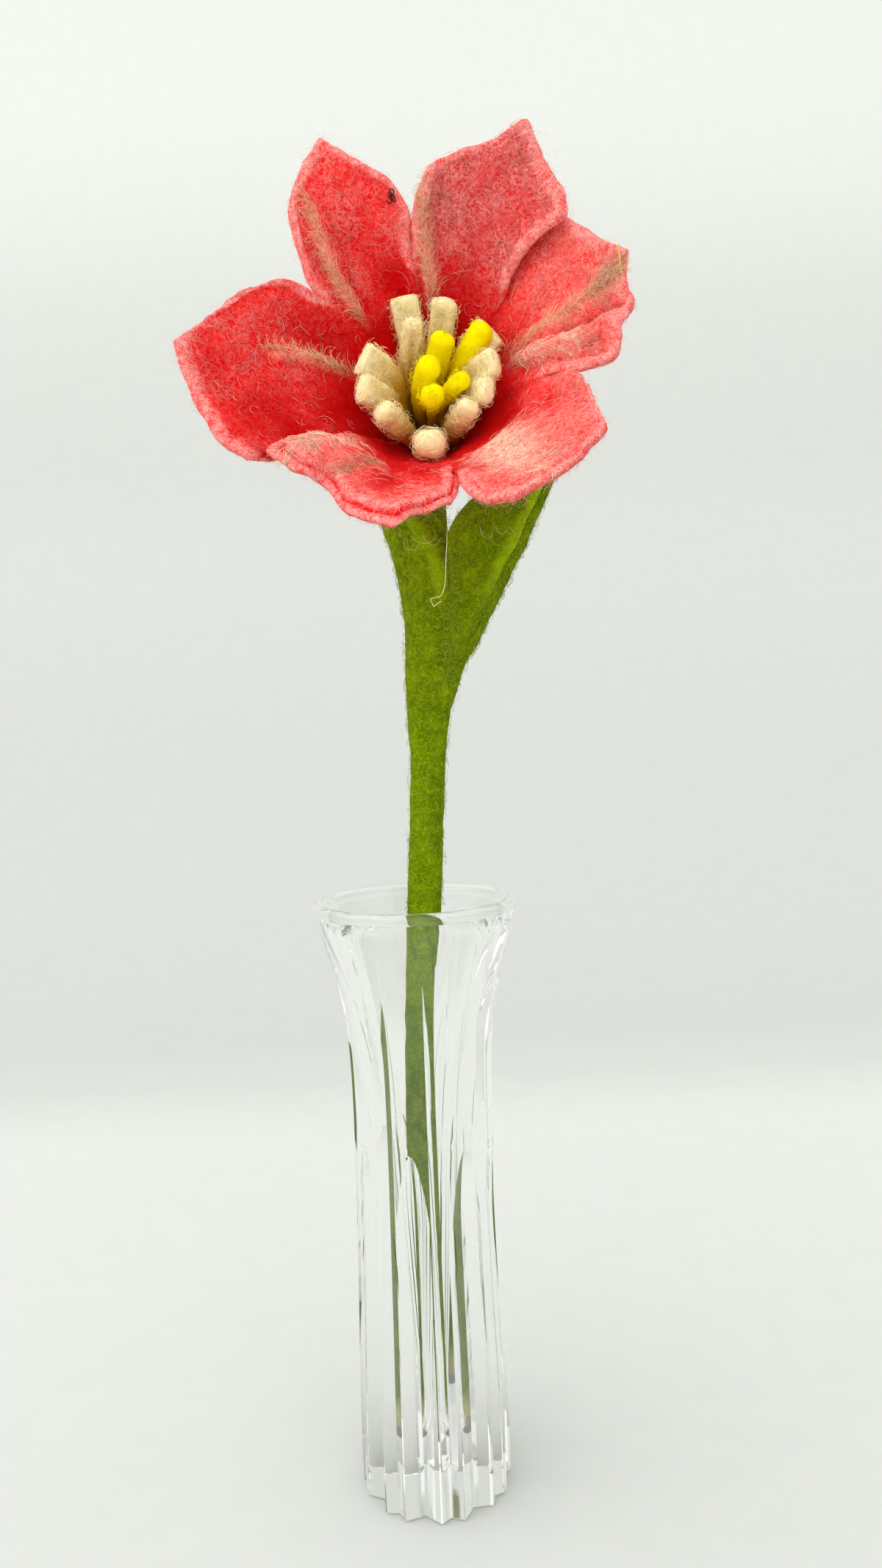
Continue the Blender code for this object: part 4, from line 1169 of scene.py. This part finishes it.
def make_petal(node, spec, seed):
    us = np.concatenate([[0, 0.006, 0.014, 0.024], np.linspace(0.024, 0.976, 82)[1:-1], [0.976, 0.986, 0.994, 1]])
    vs = np.concatenate([np.linspace(0, 0.965, 78), [0.976, 0.985, 0.992, 0.997, 1]])
    g = patch(spec, us, vs)
    deg, run, lift = g[..., 0].copy(), g[..., 1].copy(), g[..., 2]
    joined = 1 - ease(vs, 0.42, 0.66)[None, :]
    rho = np.interp(run, RUN, RHO)
    slack = np.degrees((0.2 * (1 - joined) - 0.55 * joined) / rho)
    deg = deg + slack * (1 - 2 * us)[:, None] ** 9
    # small unevenness of the cut rim
    spread = np.stack([deg * 1.2, run, 0 * run], -1)
    run += (0.45 * lump(spread, 4.2, seed) + 0.25 * lump(spread, 2.0, seed + 1)
            + spec.get("ragged", 0.0) * lump(spread, 7.0, seed + 5)) * vs[None, :] ** 9
    cup = spec["cup"] * np.sin(math.pi * us)[:, None] ** 1.2 * (vs ** 1.5)[None, :] * (1 - 0.35 * vs[None, :])
    mid, inward = funnel_point(deg, run, lift + cup)
    n = grid_normals(mid)
    n *= np.sign((n * inward).sum(2))[:, :, None]
    n = unit(soften(n, 4))
    s0, s1, dr = border_distance(mid)
    side = np.minimum(s0, s1)
    edge = np.minimum(side + 30.0 * joined, dr)
    ref = float(deg.mean())
    x, y = unroll(deg, run, ref)
    up = 0.70 * lump(mid, 11.0, seed) + 0.40 * lump(mid, 5.0, seed + 1) + 0.20 * lump(mid, 2.2, seed + 2)
    up += spec.get("wave", 0.5) * lump(mid, 9.0, seed + 3) * (1 - ease(edge, 0, 14))
    up *= ease(run, 4, 22)
    for line, height, width, _ in spec["folds"]:
        d, s, t = line_distance(x, y, flat_line(line, ref))
        fade = ease(t, 0.0, 0.12) * (1 - ease(t, 0.75, 1.0))
        up += 1.25 * height * np.exp(-(d / width) ** 2) * fade
    # height against its smoothed average, used below to paint light and shade into the relief
    painted_relief = (up - soften(up, 40)) * spec.get("calm", 1.0)
    up -= joined * 0.75 * np.clip(1 - side / 1.6, 0, 1) ** 2
    up -= spec.get("roll", 0.0) * np.clip(1 - edge / 4.5, 0, 1) ** 2
    # the pressed line where the cut edge is felted together
    seam = spec.get("core", 0.0) * np.exp(-((edge - 2.1) / 0.8) ** 2)
    up -= 0.55 * seam
    mid = mid + n * up[..., None]
    cut = spec.get("cut", 0.42)
    thick = FELT * (cut + (1 - cut) * np.sqrt(1 - (1 - np.clip(edge / 1.9, 0, 1)) ** 2))
    n2 = grid_normals(mid)
    n2 *= np.sign((n2 * inward).sum(2))[:, :, None]
    n2 = unit(soften(n2, 2))
    verts, faces, (li, lj) = sheet_solid(mid, n2, thick, bulge=0.7 if cut < 0.5 else 0.35)

    # colour of the felt, from the throat to the pale rim
    cloud = lump(mid, 7.0, seed + 3)
    spot = lump(mid, 2.4, seed)
    # darker red patches low on the petals, in creases and at tucked edges: painted shade
    shade_patch = np.zeros(run.shape)
    for d_deg, d_run, d_w, d_h, amount in spec.get("shade_patch", ()):
        ox, oy = unroll(d_deg, d_run, ref)
        shade_patch = np.maximum(shade_patch, amount * np.exp(-((x - ox) / d_w) ** 2 - ((y - oy) / d_h) ** 2))
    # painted shadow along an edge that tucks under the neighbouring petal, where the rim colour is left off
    hide_start, hide_end = spec.get("hide", (0.0, 0.0))
    tuck_shadow = (hide_start * (1 - ease(s0, 0.8, 7.0)) + hide_end * (1 - ease(s1, 0.8, 7.0))) * ease(dr, 1.0, 6.0)
    shade_patch = np.clip(np.maximum(shade_patch, tuck_shadow), 0, 1)
    tone = mix(RED_THROAT, RED_MID, ease(run + 6 * cloud, 28, 58))
    tone = mix(tone, RED_PALE, np.clip(spec["pale"] * ease(run, 28, 58) * (1 + 0.5 * cloud), 0, 1))
    tone = mix(tone, RED_DEEP, np.clip(0.16 + 0.50 * spot + 0.30 * cloud, 0, 0.85) * (1 - 0.5 * spec["pale"]))
    tone = mix(tone, RED_DULL, spec["dull"] * ease(run, 34, 58) * (0.88 + 0.12 * cloud))
    # painted shade: the patches turn deep red and then near black-red, with fewer pale fibres
    tone = mix(tone, RED_DEEP, 0.9 * shade_patch)
    tone = mix(tone, RED_SHADOW, 0.60 * shade_patch ** 1.4)
    # painted highlight on raised ridges, painted shade in creases and valleys
    tone = mix(tone, RED_PALE, np.clip(0.75 * painted_relief, 0, 0.6) * (1 - 0.7 * shade_patch) * ease(run, 26, 44))
    tone = mix(tone, RED_DEEP, np.clip(-1.1 * painted_relief, 0, 0.9))
    tone = mix(tone, RED_SHADOW, np.clip(np.maximum(-0.9 * painted_relief - 0.35, 0.8 * tuck_shadow ** 2), 0, 0.7))
    for line, colour, width, strength in spec["streaks"]:
        d, s, t = line_distance(x, y, flat_line(line, ref))
        w = width * (1 + 0.35 * spot)
        fade = ease(t, 0.0, 0.1) * (1 - 0.75 * ease(t, 0.7, 1.0))
        tone = mix(tone, STREAK_COLOURS[colour],
                   np.clip(strength * np.exp(-(d / w) ** 2) * fade * (1 + 0.3 * cloud), 0, 1))
    # lighter band along the free rim: partly the paler cut edge, partly painted glow of light through the thin felt
    rim_in, rim_out = spec.get("rim_band", (2.2, 4.4))
    rim = (1 - ease(edge + 0.6 * spot, rim_in, rim_out)) * (1 - tuck_shadow)
    tone = mix(tone, RED_RIM_GLOW, 0.92 * rim)
    uneven = np.clip(0.85 + 0.7 * cloud + 0.4 * spot, 0.25, 1)
    core = np.clip(1.7 * seam * uneven, 0, 1)
    tone = mix(tone, RED_CORE, core) * spec.get("gain", 1.0)
    amount = spec["fibres"] * (0.08 + 0.92 * ease(run, 28, 54)) * (1 - 0.95 * shade_patch)
    amount = np.clip(amount * np.clip(0.8 + 0.5 * cloud, 0.2, 1.3), 0, 1) * (1 - 0.9 * core)
    back = mix(mix(RED_DEEP, RED_MID, ease(run, 15, 50)), RED_RIM_GLOW, 0.35 + 0.4 * rim)
    walls = [mix(mix(tone[li, lj], RED_RIM_GLOW, 0.7), RED_CORE, spec.get("core", 0.0) * uneven[li, lj] * w)
             for w in (0.0, 0.7, 0.2)]
    tints = np.concatenate([tone.reshape(-1, 3), back.reshape(-1, 3)] + walls)
    shares = np.concatenate([amount.ravel(), np.full(amount.size, 0.8)] + 3 * [0.6 * amount[li, lj]])
    make_piece(node + "_felt", verts, faces, np.concatenate([tints, shares[:, None]], 1), M_RED, node=node)

    # loose fibres: a mat over the face, a halo round the free edges, some behind
    rng = np.random.default_rng(60 + seed)
    fuzz = Fuzz()
    front = Surface(mid + n2 * (thick / 2)[..., None], n2)
    area = float(front.area[:-1, :-1].sum())
    seen = ease(run, 12, 34)
    tuft = np.clip(0.6 + 0.8 * lump(mid, 2.6, seed + 2) + 0.3 * cloud, 0.05, 1.6)
    for density, wide, low, size, curl, segments in ((0.46, (0.07, 0.11), 0.1, (2.2, 6.5), (0.8, 2.4), 5),
                                                     (0.10, (0.11, 0.17), 0.4, (4.0, 10.0), (1.4, 4.5), 7)):
        weight = ease(run, 22, 48) * tuft * (0.03 + 0.97 * amount) * ease(edge, 1.0, 3.0)
        count = int(float((front.area * weight)[:-1, :-1].sum()) * 2.4 * density * SHARE)
        path, ups, a, b = grow(front, rng, count, size, curl, 0.8, segments=segments, jitter=0.5 * 5 / segments,
                               weight=weight)
        local = front.at(tone, a, b)
        pale = np.where((rng.random(count) < 0.7)[:, None], FIBRE_LIGHT, SALMON)
        t = mix(local, pale, rng.uniform(low, 1.0, count)) * rng.uniform(0.88, 1.1, (count, 1))
        fuzz.add(path, ups, rng.uniform(*wide, count), t)
    for line, colour, width, strength in spec["streaks"]:
        d, s, along = line_distance(x, y, flat_line(line, ref))
        band = np.exp(-(d / (0.7 * width)) ** 2) * ease(along, 0.0, 0.05)
        count = int(240 * strength * SHARE)
        path, ups, a, b = grow(front, rng, count, (4.0, 9.0), (3.0, 9.0), 0.6, weight=band,
                               along=math.pi / 2, spread=0.35, jitter=0.22)
        t = (mix(np.tile(STREAK_COLOURS[colour], (count, 1)), STREAK_COLOURS["crest"], rng.uniform(0.0, 0.9, count))
             * rng.uniform(0.85, 1.1, (count, 1)))
        fuzz.add(path, ups, rng.uniform(0.08, 0.16, count), t)
    rear = Surface(mid - n2 * (thick / 2)[..., None], -n2)
    halo = np.exp(-(edge / 0.9) ** 2) * (edge < 5)
    for surface, count in ((front, 520 * (1 - 0.8 * spec.get("core", 0.0))), (rear, 420)):
        count = int(count * SHARE)
        path, ups, a, b = grow(surface, rng, count, (0.8, 2.8), (0.5, 1.8), 0.5, weight=halo, free=0.6, sink=-0.3,
                               stray=0.9, segments=4)
        t = mix(RED_RIM_GLOW, SALMON, rng.random(count)) * rng.uniform(0.85, 1.15, (count, 1))
        fuzz.add(path, ups, rng.uniform(0.06, 0.11, count), t)
    count = int(160 * SHARE)
    path, ups, a, b = grow(rear, rng, count, (2.0, 6.5), (0.8, 3.5), 1.6, weight=halo, free=0.8, sink=-0.3, stray=0.9)
    fuzz.add(path, ups, rng.uniform(0.04, 0.07, count), np.tile(FIBRE_LIGHT, (count, 1)))
    count = int(area * 0.09 * SHARE)
    path, ups, a, b = grow(rear, rng, count, (3.0, 8.0), (1.2, 4.5), 0.7, weight=seen, segments=4)
    t = mix(rear.at(back, a, b), RED_RIM_GLOW, rng.uniform(0.2, 0.9, count)) * rng.uniform(0.8, 1.1, (count, 1))
    fuzz.add(path, ups, rng.uniform(0.08, 0.14, count), t)
    fuzz.piece("fuzz_" + node, M_STRAND_RED)


for number, (petal_name, petal_spec) in enumerate(PETALS.items()):
    make_petal(petal_name, petal_spec, number)


def make_base():
    """Round green felt pad that closes the back of the corolla."""
    rings = []
    turn = np.linspace(0, 360, 48, endpoint=False)
    for along, r in ((-5.6, 2.4), (-5.55, 4.4), (-5.2, 6.2), (-4.7, 7.7), (-4.1, 8.9), (-3.3, 10.0), (-2.5, 10.7),
                     (-1.9, 10.9), (-1.5, 10.6), (-1.35, 10.0)):
        rings.append(flower_point(turn, np.full(48, r), np.full(48, along)))
    verts, faces = loft(rings)
    verts = verts + AXIS * (0.15 * lump(verts, 3.0, 1))[:, None]
    make_piece("corolla_pad", verts, faces, green_tone(verts), M_GREEN, node="corolla_base")


make_base()


def make_throat():
    """Red felt that lines the bottom of the flower, in front of the green pad."""
    rings = []
    turn = np.linspace(0, 360, 48, endpoint=False)
    for along, r in ((-1.2, 9.6), (-0.7, 9.9), (-0.2, 9.6), (0.0, 8.6), (0.05, 6.0), (0.05, 3.0)):
        rings.append(flower_point(turn, np.full(48, r), np.full(48, along)))
    verts, faces = loft(rings)
    make_piece("throat_felt", verts, faces, np.tile(RED_DEEP, (len(verts), 1)), M_RED)


make_throat()

# ================================================================ stamens and pistil
FRINGE_RING = 6.6
# tip direction, radius, along, width, thickness; bend direction, radius, along;
# share of turning towards the front, squareness, end rounding, groove
FRINGE = [
    (-13.7, 27.6, 35.2, 8.6, 4.2, -16, 11.0, 20.0, 0.3, 3.6, 1.2, 0.12),
    (15, 26.0, 35.6, 7.8, 4.6, 10, 10.0, 22.0, 0.3, 2.6, 2.2, 0.50),
    (54, 25.2, 33.0, 9.6, 4.4, 50, 9.8, 25.0, 0.6, 3.8, 1.1, 0.20),
    (88, 21.8, 37.0, 8.4, 4.6, 80, 9.0, 28.0, 0.6, 2.6, 2.2, 0.26),
    (116, 21.2, 37.6, 7.4, 4.4, 105, 9.4, 26.0, 0.6, 2.6, 1.9, 0.15),
    (138, 19.8, 38.5, 6.4, 5.0, 147, 12.0, 19.0, 0.8, 2.4, 2.6, 0.10),
    (178, 24.6, 34.6, 9.0, 8.0, 179, 12.5, 18.0, 0.0, 2.3, 3.2, 0.05),
    (222, 19.2, 38.0, 7.0, 5.4, 213, 12.0, 18.0, 0.8, 2.5, 2.4, 0.30),
    (252, 20.0, 38.0, 8.4, 4.6, 247, 9.8, 25.0, 0.7, 3.2, 1.4, 0.10),
    (281, 18.8, 38.5, 9.6, 4.2, 282, 8.8, 28.5, 0.8, 4.0, 1.0, 0.12),
    (350, 14.8, 40.6, 5.8, 5.4, 302, 9.6, 22.0, 0.4, 2.4, 2.6, 0.30)]
FACING = unit(np.array([-0.03, -0.96, -0.20]))
PISTIL_RING = 2.7
PISTIL = [  # tip direction, radius, along, diameter, bend direction, radius, along, start of the swelling
    (280, -2.2, 39.6, 7.4, 285, 4.6, 21, 0.0), (30, 12.6, 37.6, 7.2, 0, 4.5, 22, 0.1),
    (53, 23.6, 36.6, 7.6, 54, 6.6, 22, 0.0), (114, 13.6, 37.4, 5.8, 140, 3.0, 28, 0.3),
    (167, 10.6, 38.4, 6.9, 150, 2.4, 23, 0.45)]


def finger(root_deg, root_r, mid, tip, width, depth, root_w, root_t, square, cut, seed, groove=0.0, face=0.0,
           flare=0.0):
    """One felt finger: rings round a curved middle line. Returns its grid of rings."""
    p0 = flower_point(root_deg, root_r, -0.6)
    p1 = flower_point(*mid)
    p2 = flower_point(*tip)
    sides = 28
    ts = np.concatenate([np.linspace(0, 0.9, 26), [0.925, 0.945, 0.962, 0.976, 0.987, 0.995, 1.0]])
    ang = np.linspace(0, 2 * math.pi, sides, endpoint=False)
    cs, sn = np.cos(ang), np.sin(ang)
    shape_x = np.sign(cs) * np.abs(cs) ** (2 / square)
    shape_y = np.sign(sn) * np.abs(sn) ** (2 / square)
    length = np.linalg.norm(p2 - p0)
    rings, fronts = [], []
    for t in ts:
        c = (1 - t) ** 2 * p0 + 2 * t * (1 - t) * p1 + t * t * p2
        d = 2 * (1 - t) * (p1 - p0) + 2 * t * (p2 - p1)
        d = d / np.linalg.norm(d)
        root = root_deg
        tip_deg = tip[0]
        while tip_deg - root > 180:
            tip_deg -= 360
        while tip_deg - root < -180:
            tip_deg += 360
        deg = root + (tip_deg - root) * t * t
        out = spoke(np.array(float(deg)))
        side = unit(np.cross(out, d))
        if side @ spoke(np.array(float(deg) + 90.0)) < 0:
            side = -side
        turned = unit(np.cross(d, FACING))
        if turned @ side < 0:
            turned = -turned
        share = face * float(ease(t, 0.15, 0.75))
        side = unit(side * (1 - share) + turned * share)
        nrm = np.cross(side, d)
        if nrm @ out > 0:
            nrm = -nrm
        g = float(ease(t, flare, 0.62 + 0.5 * flare))
        w = root_w + (width - root_w) * g
        th = root_t + (depth - root_t) * g
        # rounded end: how far the tip is, against the size of the rounding
        left = (1 - t) * length
        cap_w = math.sqrt(max(0.0, 1 - (1 - min(left / cut, 1.0)) ** 2))
        w *= 0.30 + 0.70 * cap_w if cut < 2 else max(cap_w, 0.04)
        th *= 0.30 + 0.70 * cap_w if cut < 2 else max(cap_w, 0.04)
        dent = groove * th * np.clip(shape_y, 0, 1) * np.exp(-(shape_x / 0.38) ** 2) * float(ease(t, 0.3, 0.6) * (1 - ease(t, 0.82, 0.97)))
        p = c + 0.5 * w * shape_x[:, None] * side + (0.5 * th * shape_y - dent)[:, None] * nrm
        p = p + unit(p - c) * (0.34 * lump(p, 3.4, seed) + 0.14 * lump(p, 1.5, seed + 1))[:, None]
        rings.append(p)
    return rings


def make_fingers(name, node, fingers, material, fuzz_name, strand_material, tone_at, fuzz_tone, root_shade, count,
                 seed):
    all_v, all_q, all_t, tints, off = [], [], [], [], 0
    fuzz = Fuzz()
    rng = np.random.default_rng(seed)
    for rings in fingers:
        v, f = loft(rings)
        all_v.append(v)
        all_q.append(f[0] + off)
        all_t.append(f[1] + off)
        off += len(v)
        t = np.concatenate([np.repeat(np.linspace(0, 1, len(rings)), len(rings[0])), [0, 1]])
        tints.append(np.concatenate([tone_at(v, t), (0.1 + 0.9 * ease(t, 0.35, 0.7))[:, None]], 1))
        grid = np.stack(rings, 1)
        surf = Surface(grid, unit(grid - grid.mean(0, keepdims=True)), closed=True)
        rows = np.linspace(0, 1, grid.shape[1])
        weight = ease(rows, 0.35, 0.6)[None, :] * np.ones((grid.shape[0], 1))
        path, ups, a, b = grow(surf, rng, int(count * SHARE), (1.6, 4.6), (0.7, 2.2), 1.5, weight=weight,
                                free=0.6)
        # fibres near the roots take the painted root shade
        tone = mix(fuzz_tone(rng, len(path)), root_shade, 0.85 * (1 - ease(b / (grid.shape[1] - 1), 0.45, 0.78)))
        fuzz.add(path, ups, rng.uniform(0.09, 0.16, len(path)), tone)
    make_piece(name, np.concatenate(all_v), [np.concatenate(all_q), np.concatenate(all_t)],
               np.concatenate(tints), material, node=node)
    fuzz.piece(fuzz_name, strand_material)


def cream_tone(v, t):
    # painted shade: golden-brown towards the roots and in patches between the fingers, pale cream at the tips
    c = mix(CREAM_SHADE, CREAM, ease(t, 0.42, 0.84))
    c = mix(c, CREAM_ROOT_SHADE, 1 - ease(t, 0.12, 0.55))
    return mix(c, CREAM_SHADE, np.clip(0.02 + 0.5 * lump(v, 2.6, 2), 0, 0.40) * (1 - 0.7 * ease(t, 0.7, 0.95)))


def yellow_tone(v, t):
    # painted shade: deeper yellow lower down, dark golden-brown at the roots
    c = mix(YELLOW_SHADE, YELLOW, ease(t, 0.3, 0.75))
    c = mix(c, CREAM_ROOT_SHADE, 0.95 * (1 - ease(t, 0.25, 0.62)))
    return mix(c, YELLOW_SHADE, np.clip(0.10 + 0.2 * lump(v, 2.6, 1), 0, 0.4))


fringe_fingers = []
for number, row in enumerate(FRINGE):
    f_root = -14.0 + 32.2 * number
    f_deg, f_r, f_along, f_w, f_th, m_deg, m_r, m_along, f_face, f_square, f_cut, f_groove = row
    fringe_fingers.append(finger(f_root, FRINGE_RING, (m_deg, m_r, m_along), (f_deg, f_r, f_along), f_w, f_th,
                                 3.6, 3.0, f_square, f_cut, number % 4, groove=f_groove, face=f_face))
make_fingers("stamens_felt", "stamen_fringe", fringe_fingers, M_CREAM, "fuzz_stamens",
             M_STRAND_CREAM, cream_tone,
             lambda rng, k: mix(np.array([0.96, 0.68, 0.14]), np.array([1.0, 0.95, 0.74]), rng.random(k) ** 0.6)
             * rng.uniform(0.97, 1.1, (k, 1)), np.array([0.66, 0.38, 0.01]), 380, 81)

pistil_fingers = []
for number, (f_deg, f_r, f_along, f_dia, m_deg, m_r, m_along, f_flare) in enumerate(PISTIL):
    f_root = -86.0 + 70.0 * number
    pistil_fingers.append(finger(f_root, PISTIL_RING, (m_deg, m_r, m_along), (f_deg, f_r, f_along),
                                 f_dia, f_dia * 0.92, 3.0, 2.6, 2.1, f_dia * 0.42, number % 4, flare=f_flare))
make_fingers("pistil_felt", "pistil", pistil_fingers, M_YELLOW, "fuzz_pistil",
             M_STRAND_YELLOW, yellow_tone,
             lambda rng, k: mix(YELLOW, lin("FFF218"), rng.random(k) * 0.6) * rng.uniform(0.92, 1.08, (k, 1)),
             np.array([0.70, 0.42, 0.0]), 150, 82)

# ================================================================ loose threads
def on_petal(deg, run, lift):
    p, _ = funnel_point(np.array(float(deg)), np.array(float(run)), np.array(float(lift)))
    return p


thread("thread_notch", [(14.6, -15.5, 319.5), (14.3, -18.3, 314.5), (13.8, -17.6, 308.0), (13.5, -17.0, 303.0),
                        (12.9, -16.6, 299.3), (11.6, -16.5, 297.0), (9.9, -16.4, 296.6), (8.7, -16.4, 296.3),
                        (8.8, -16.3, 295.2), (9.6, -16.2, 294.0), (10.9, -16.4, 294.9), (12.3, -16.6, 295.5)],
       0.20, np.array([1.0, 1.0, 0.62]), M_STRAND_CREAM)
thread("thread_tip", [on_petal(26, 82, 2.6), on_petal(30, 85.5, 2.8), on_petal(35, 85.5, 3.2),
                      on_petal(39, 82.5, 3.0), on_petal(40.6, 79, 2.4), on_petal(39.6, 75.5, 1.6)],
       0.12, lin("E8DCD8"), M_STRAND_CREAM)
thread("hair_yellow", [on_petal(66.6, 76.3, -0.9), on_petal(68.5, 76.6, 0.3), on_petal(72, 75.6, 0.2),
                       on_petal(75.6, 73.8, -0.9)], 0.26, lin("E8C63A"), M_STRAND_YELLOW)
rng_loose = np.random.default_rng(5)
for number, (d0, r0) in enumerate(((-9.6, 65.0), (-9.0, 65.8), (-10.2, 64.4), (-8.7, 64.6))):
    turn = rng_loose.uniform(0, 2 * math.pi)
    points = [on_petal(d0 + 1.1 * math.cos(turn + 1.7 * k) * (1 - 0.2 * k), r0 + 1.3 * math.sin(turn + 1.7 * k),
                       0.8 + 0.25 * k) for k in range(4)]
    thread("speck_%d" % number, points, 0.34, lin("5A1A14"), M_STRAND_RED)
curls = (
    ((3.0, -27.0, 318.0), (5.0, -27.5, 315.8), (8.0, -27.6, 314.9), (10.8, -27.0, 316.6), (10.4, -26.8, 319.4)),
    ((6.6, -26.6, 319.0), (7.6, -27.2, 315.8), (10.6, -27.6, 314.2), (12.6, -27.0, 316.4)),
    ((0.8, -27.0, 317.4), (1.5, -27.6, 314.6), (3.9, -27.8, 313.4), (5.6, -27.4, 315.0)),
    ((24.6, -23.0, 319.6), (25.4, -23.8, 316.6), (27.8, -24.2, 315.9), (29.0, -23.6, 318.4)),
    ((33.4, -22.0, 319.8), (35.6, -23.0, 317.6), (38.2, -23.4, 314.9), (40.8, -23.2, 315.9), (41.4, -22.4, 318.6)),
    ((29.4, -23.0, 319.4), (31.4, -23.8, 317.2), (34.0, -23.6, 318.8)),
)
bpy.context.view_layer.update()
lobes = []
for name in ("calyx_left_felt", "calyx_right_felt"):
    lobe = bpy.data.objects[name]
    lobes.append(BVHTree.FromPolygons([lobe.matrix_world @ v.co for v in lobe.data.vertices],
                                      [tuple(face.vertices) for face in lobe.data.polygons]))


def resting(points):
    """The same curl pushed straight back until it rests on the felt of the calyx."""
    depths = []
    for x, _, z in points:
        start = Vector((x, -80.0, z - 1.5)) * 0.001
        hits = [tree.ray_cast(start, Vector((0.0, 1.0, 0.0)))[0] for tree in lobes]
        depths.append(min([hit.y * 1000.0 for hit in hits if hit is not None], default=None))
    known = [depth for depth in depths if depth is not None]
    return [(x, (min(known) if depth is None else depth) - 0.12, z - 1.5)
            for (x, _, z), depth in zip(points, depths)] if known else []


for number, points in enumerate(curls):
    laid = resting(points)
    if laid:
        thread("curl_%d" % number, laid, 0.09, np.array([1.0, 0.90, 0.50]), M_STRAND_CREAM)
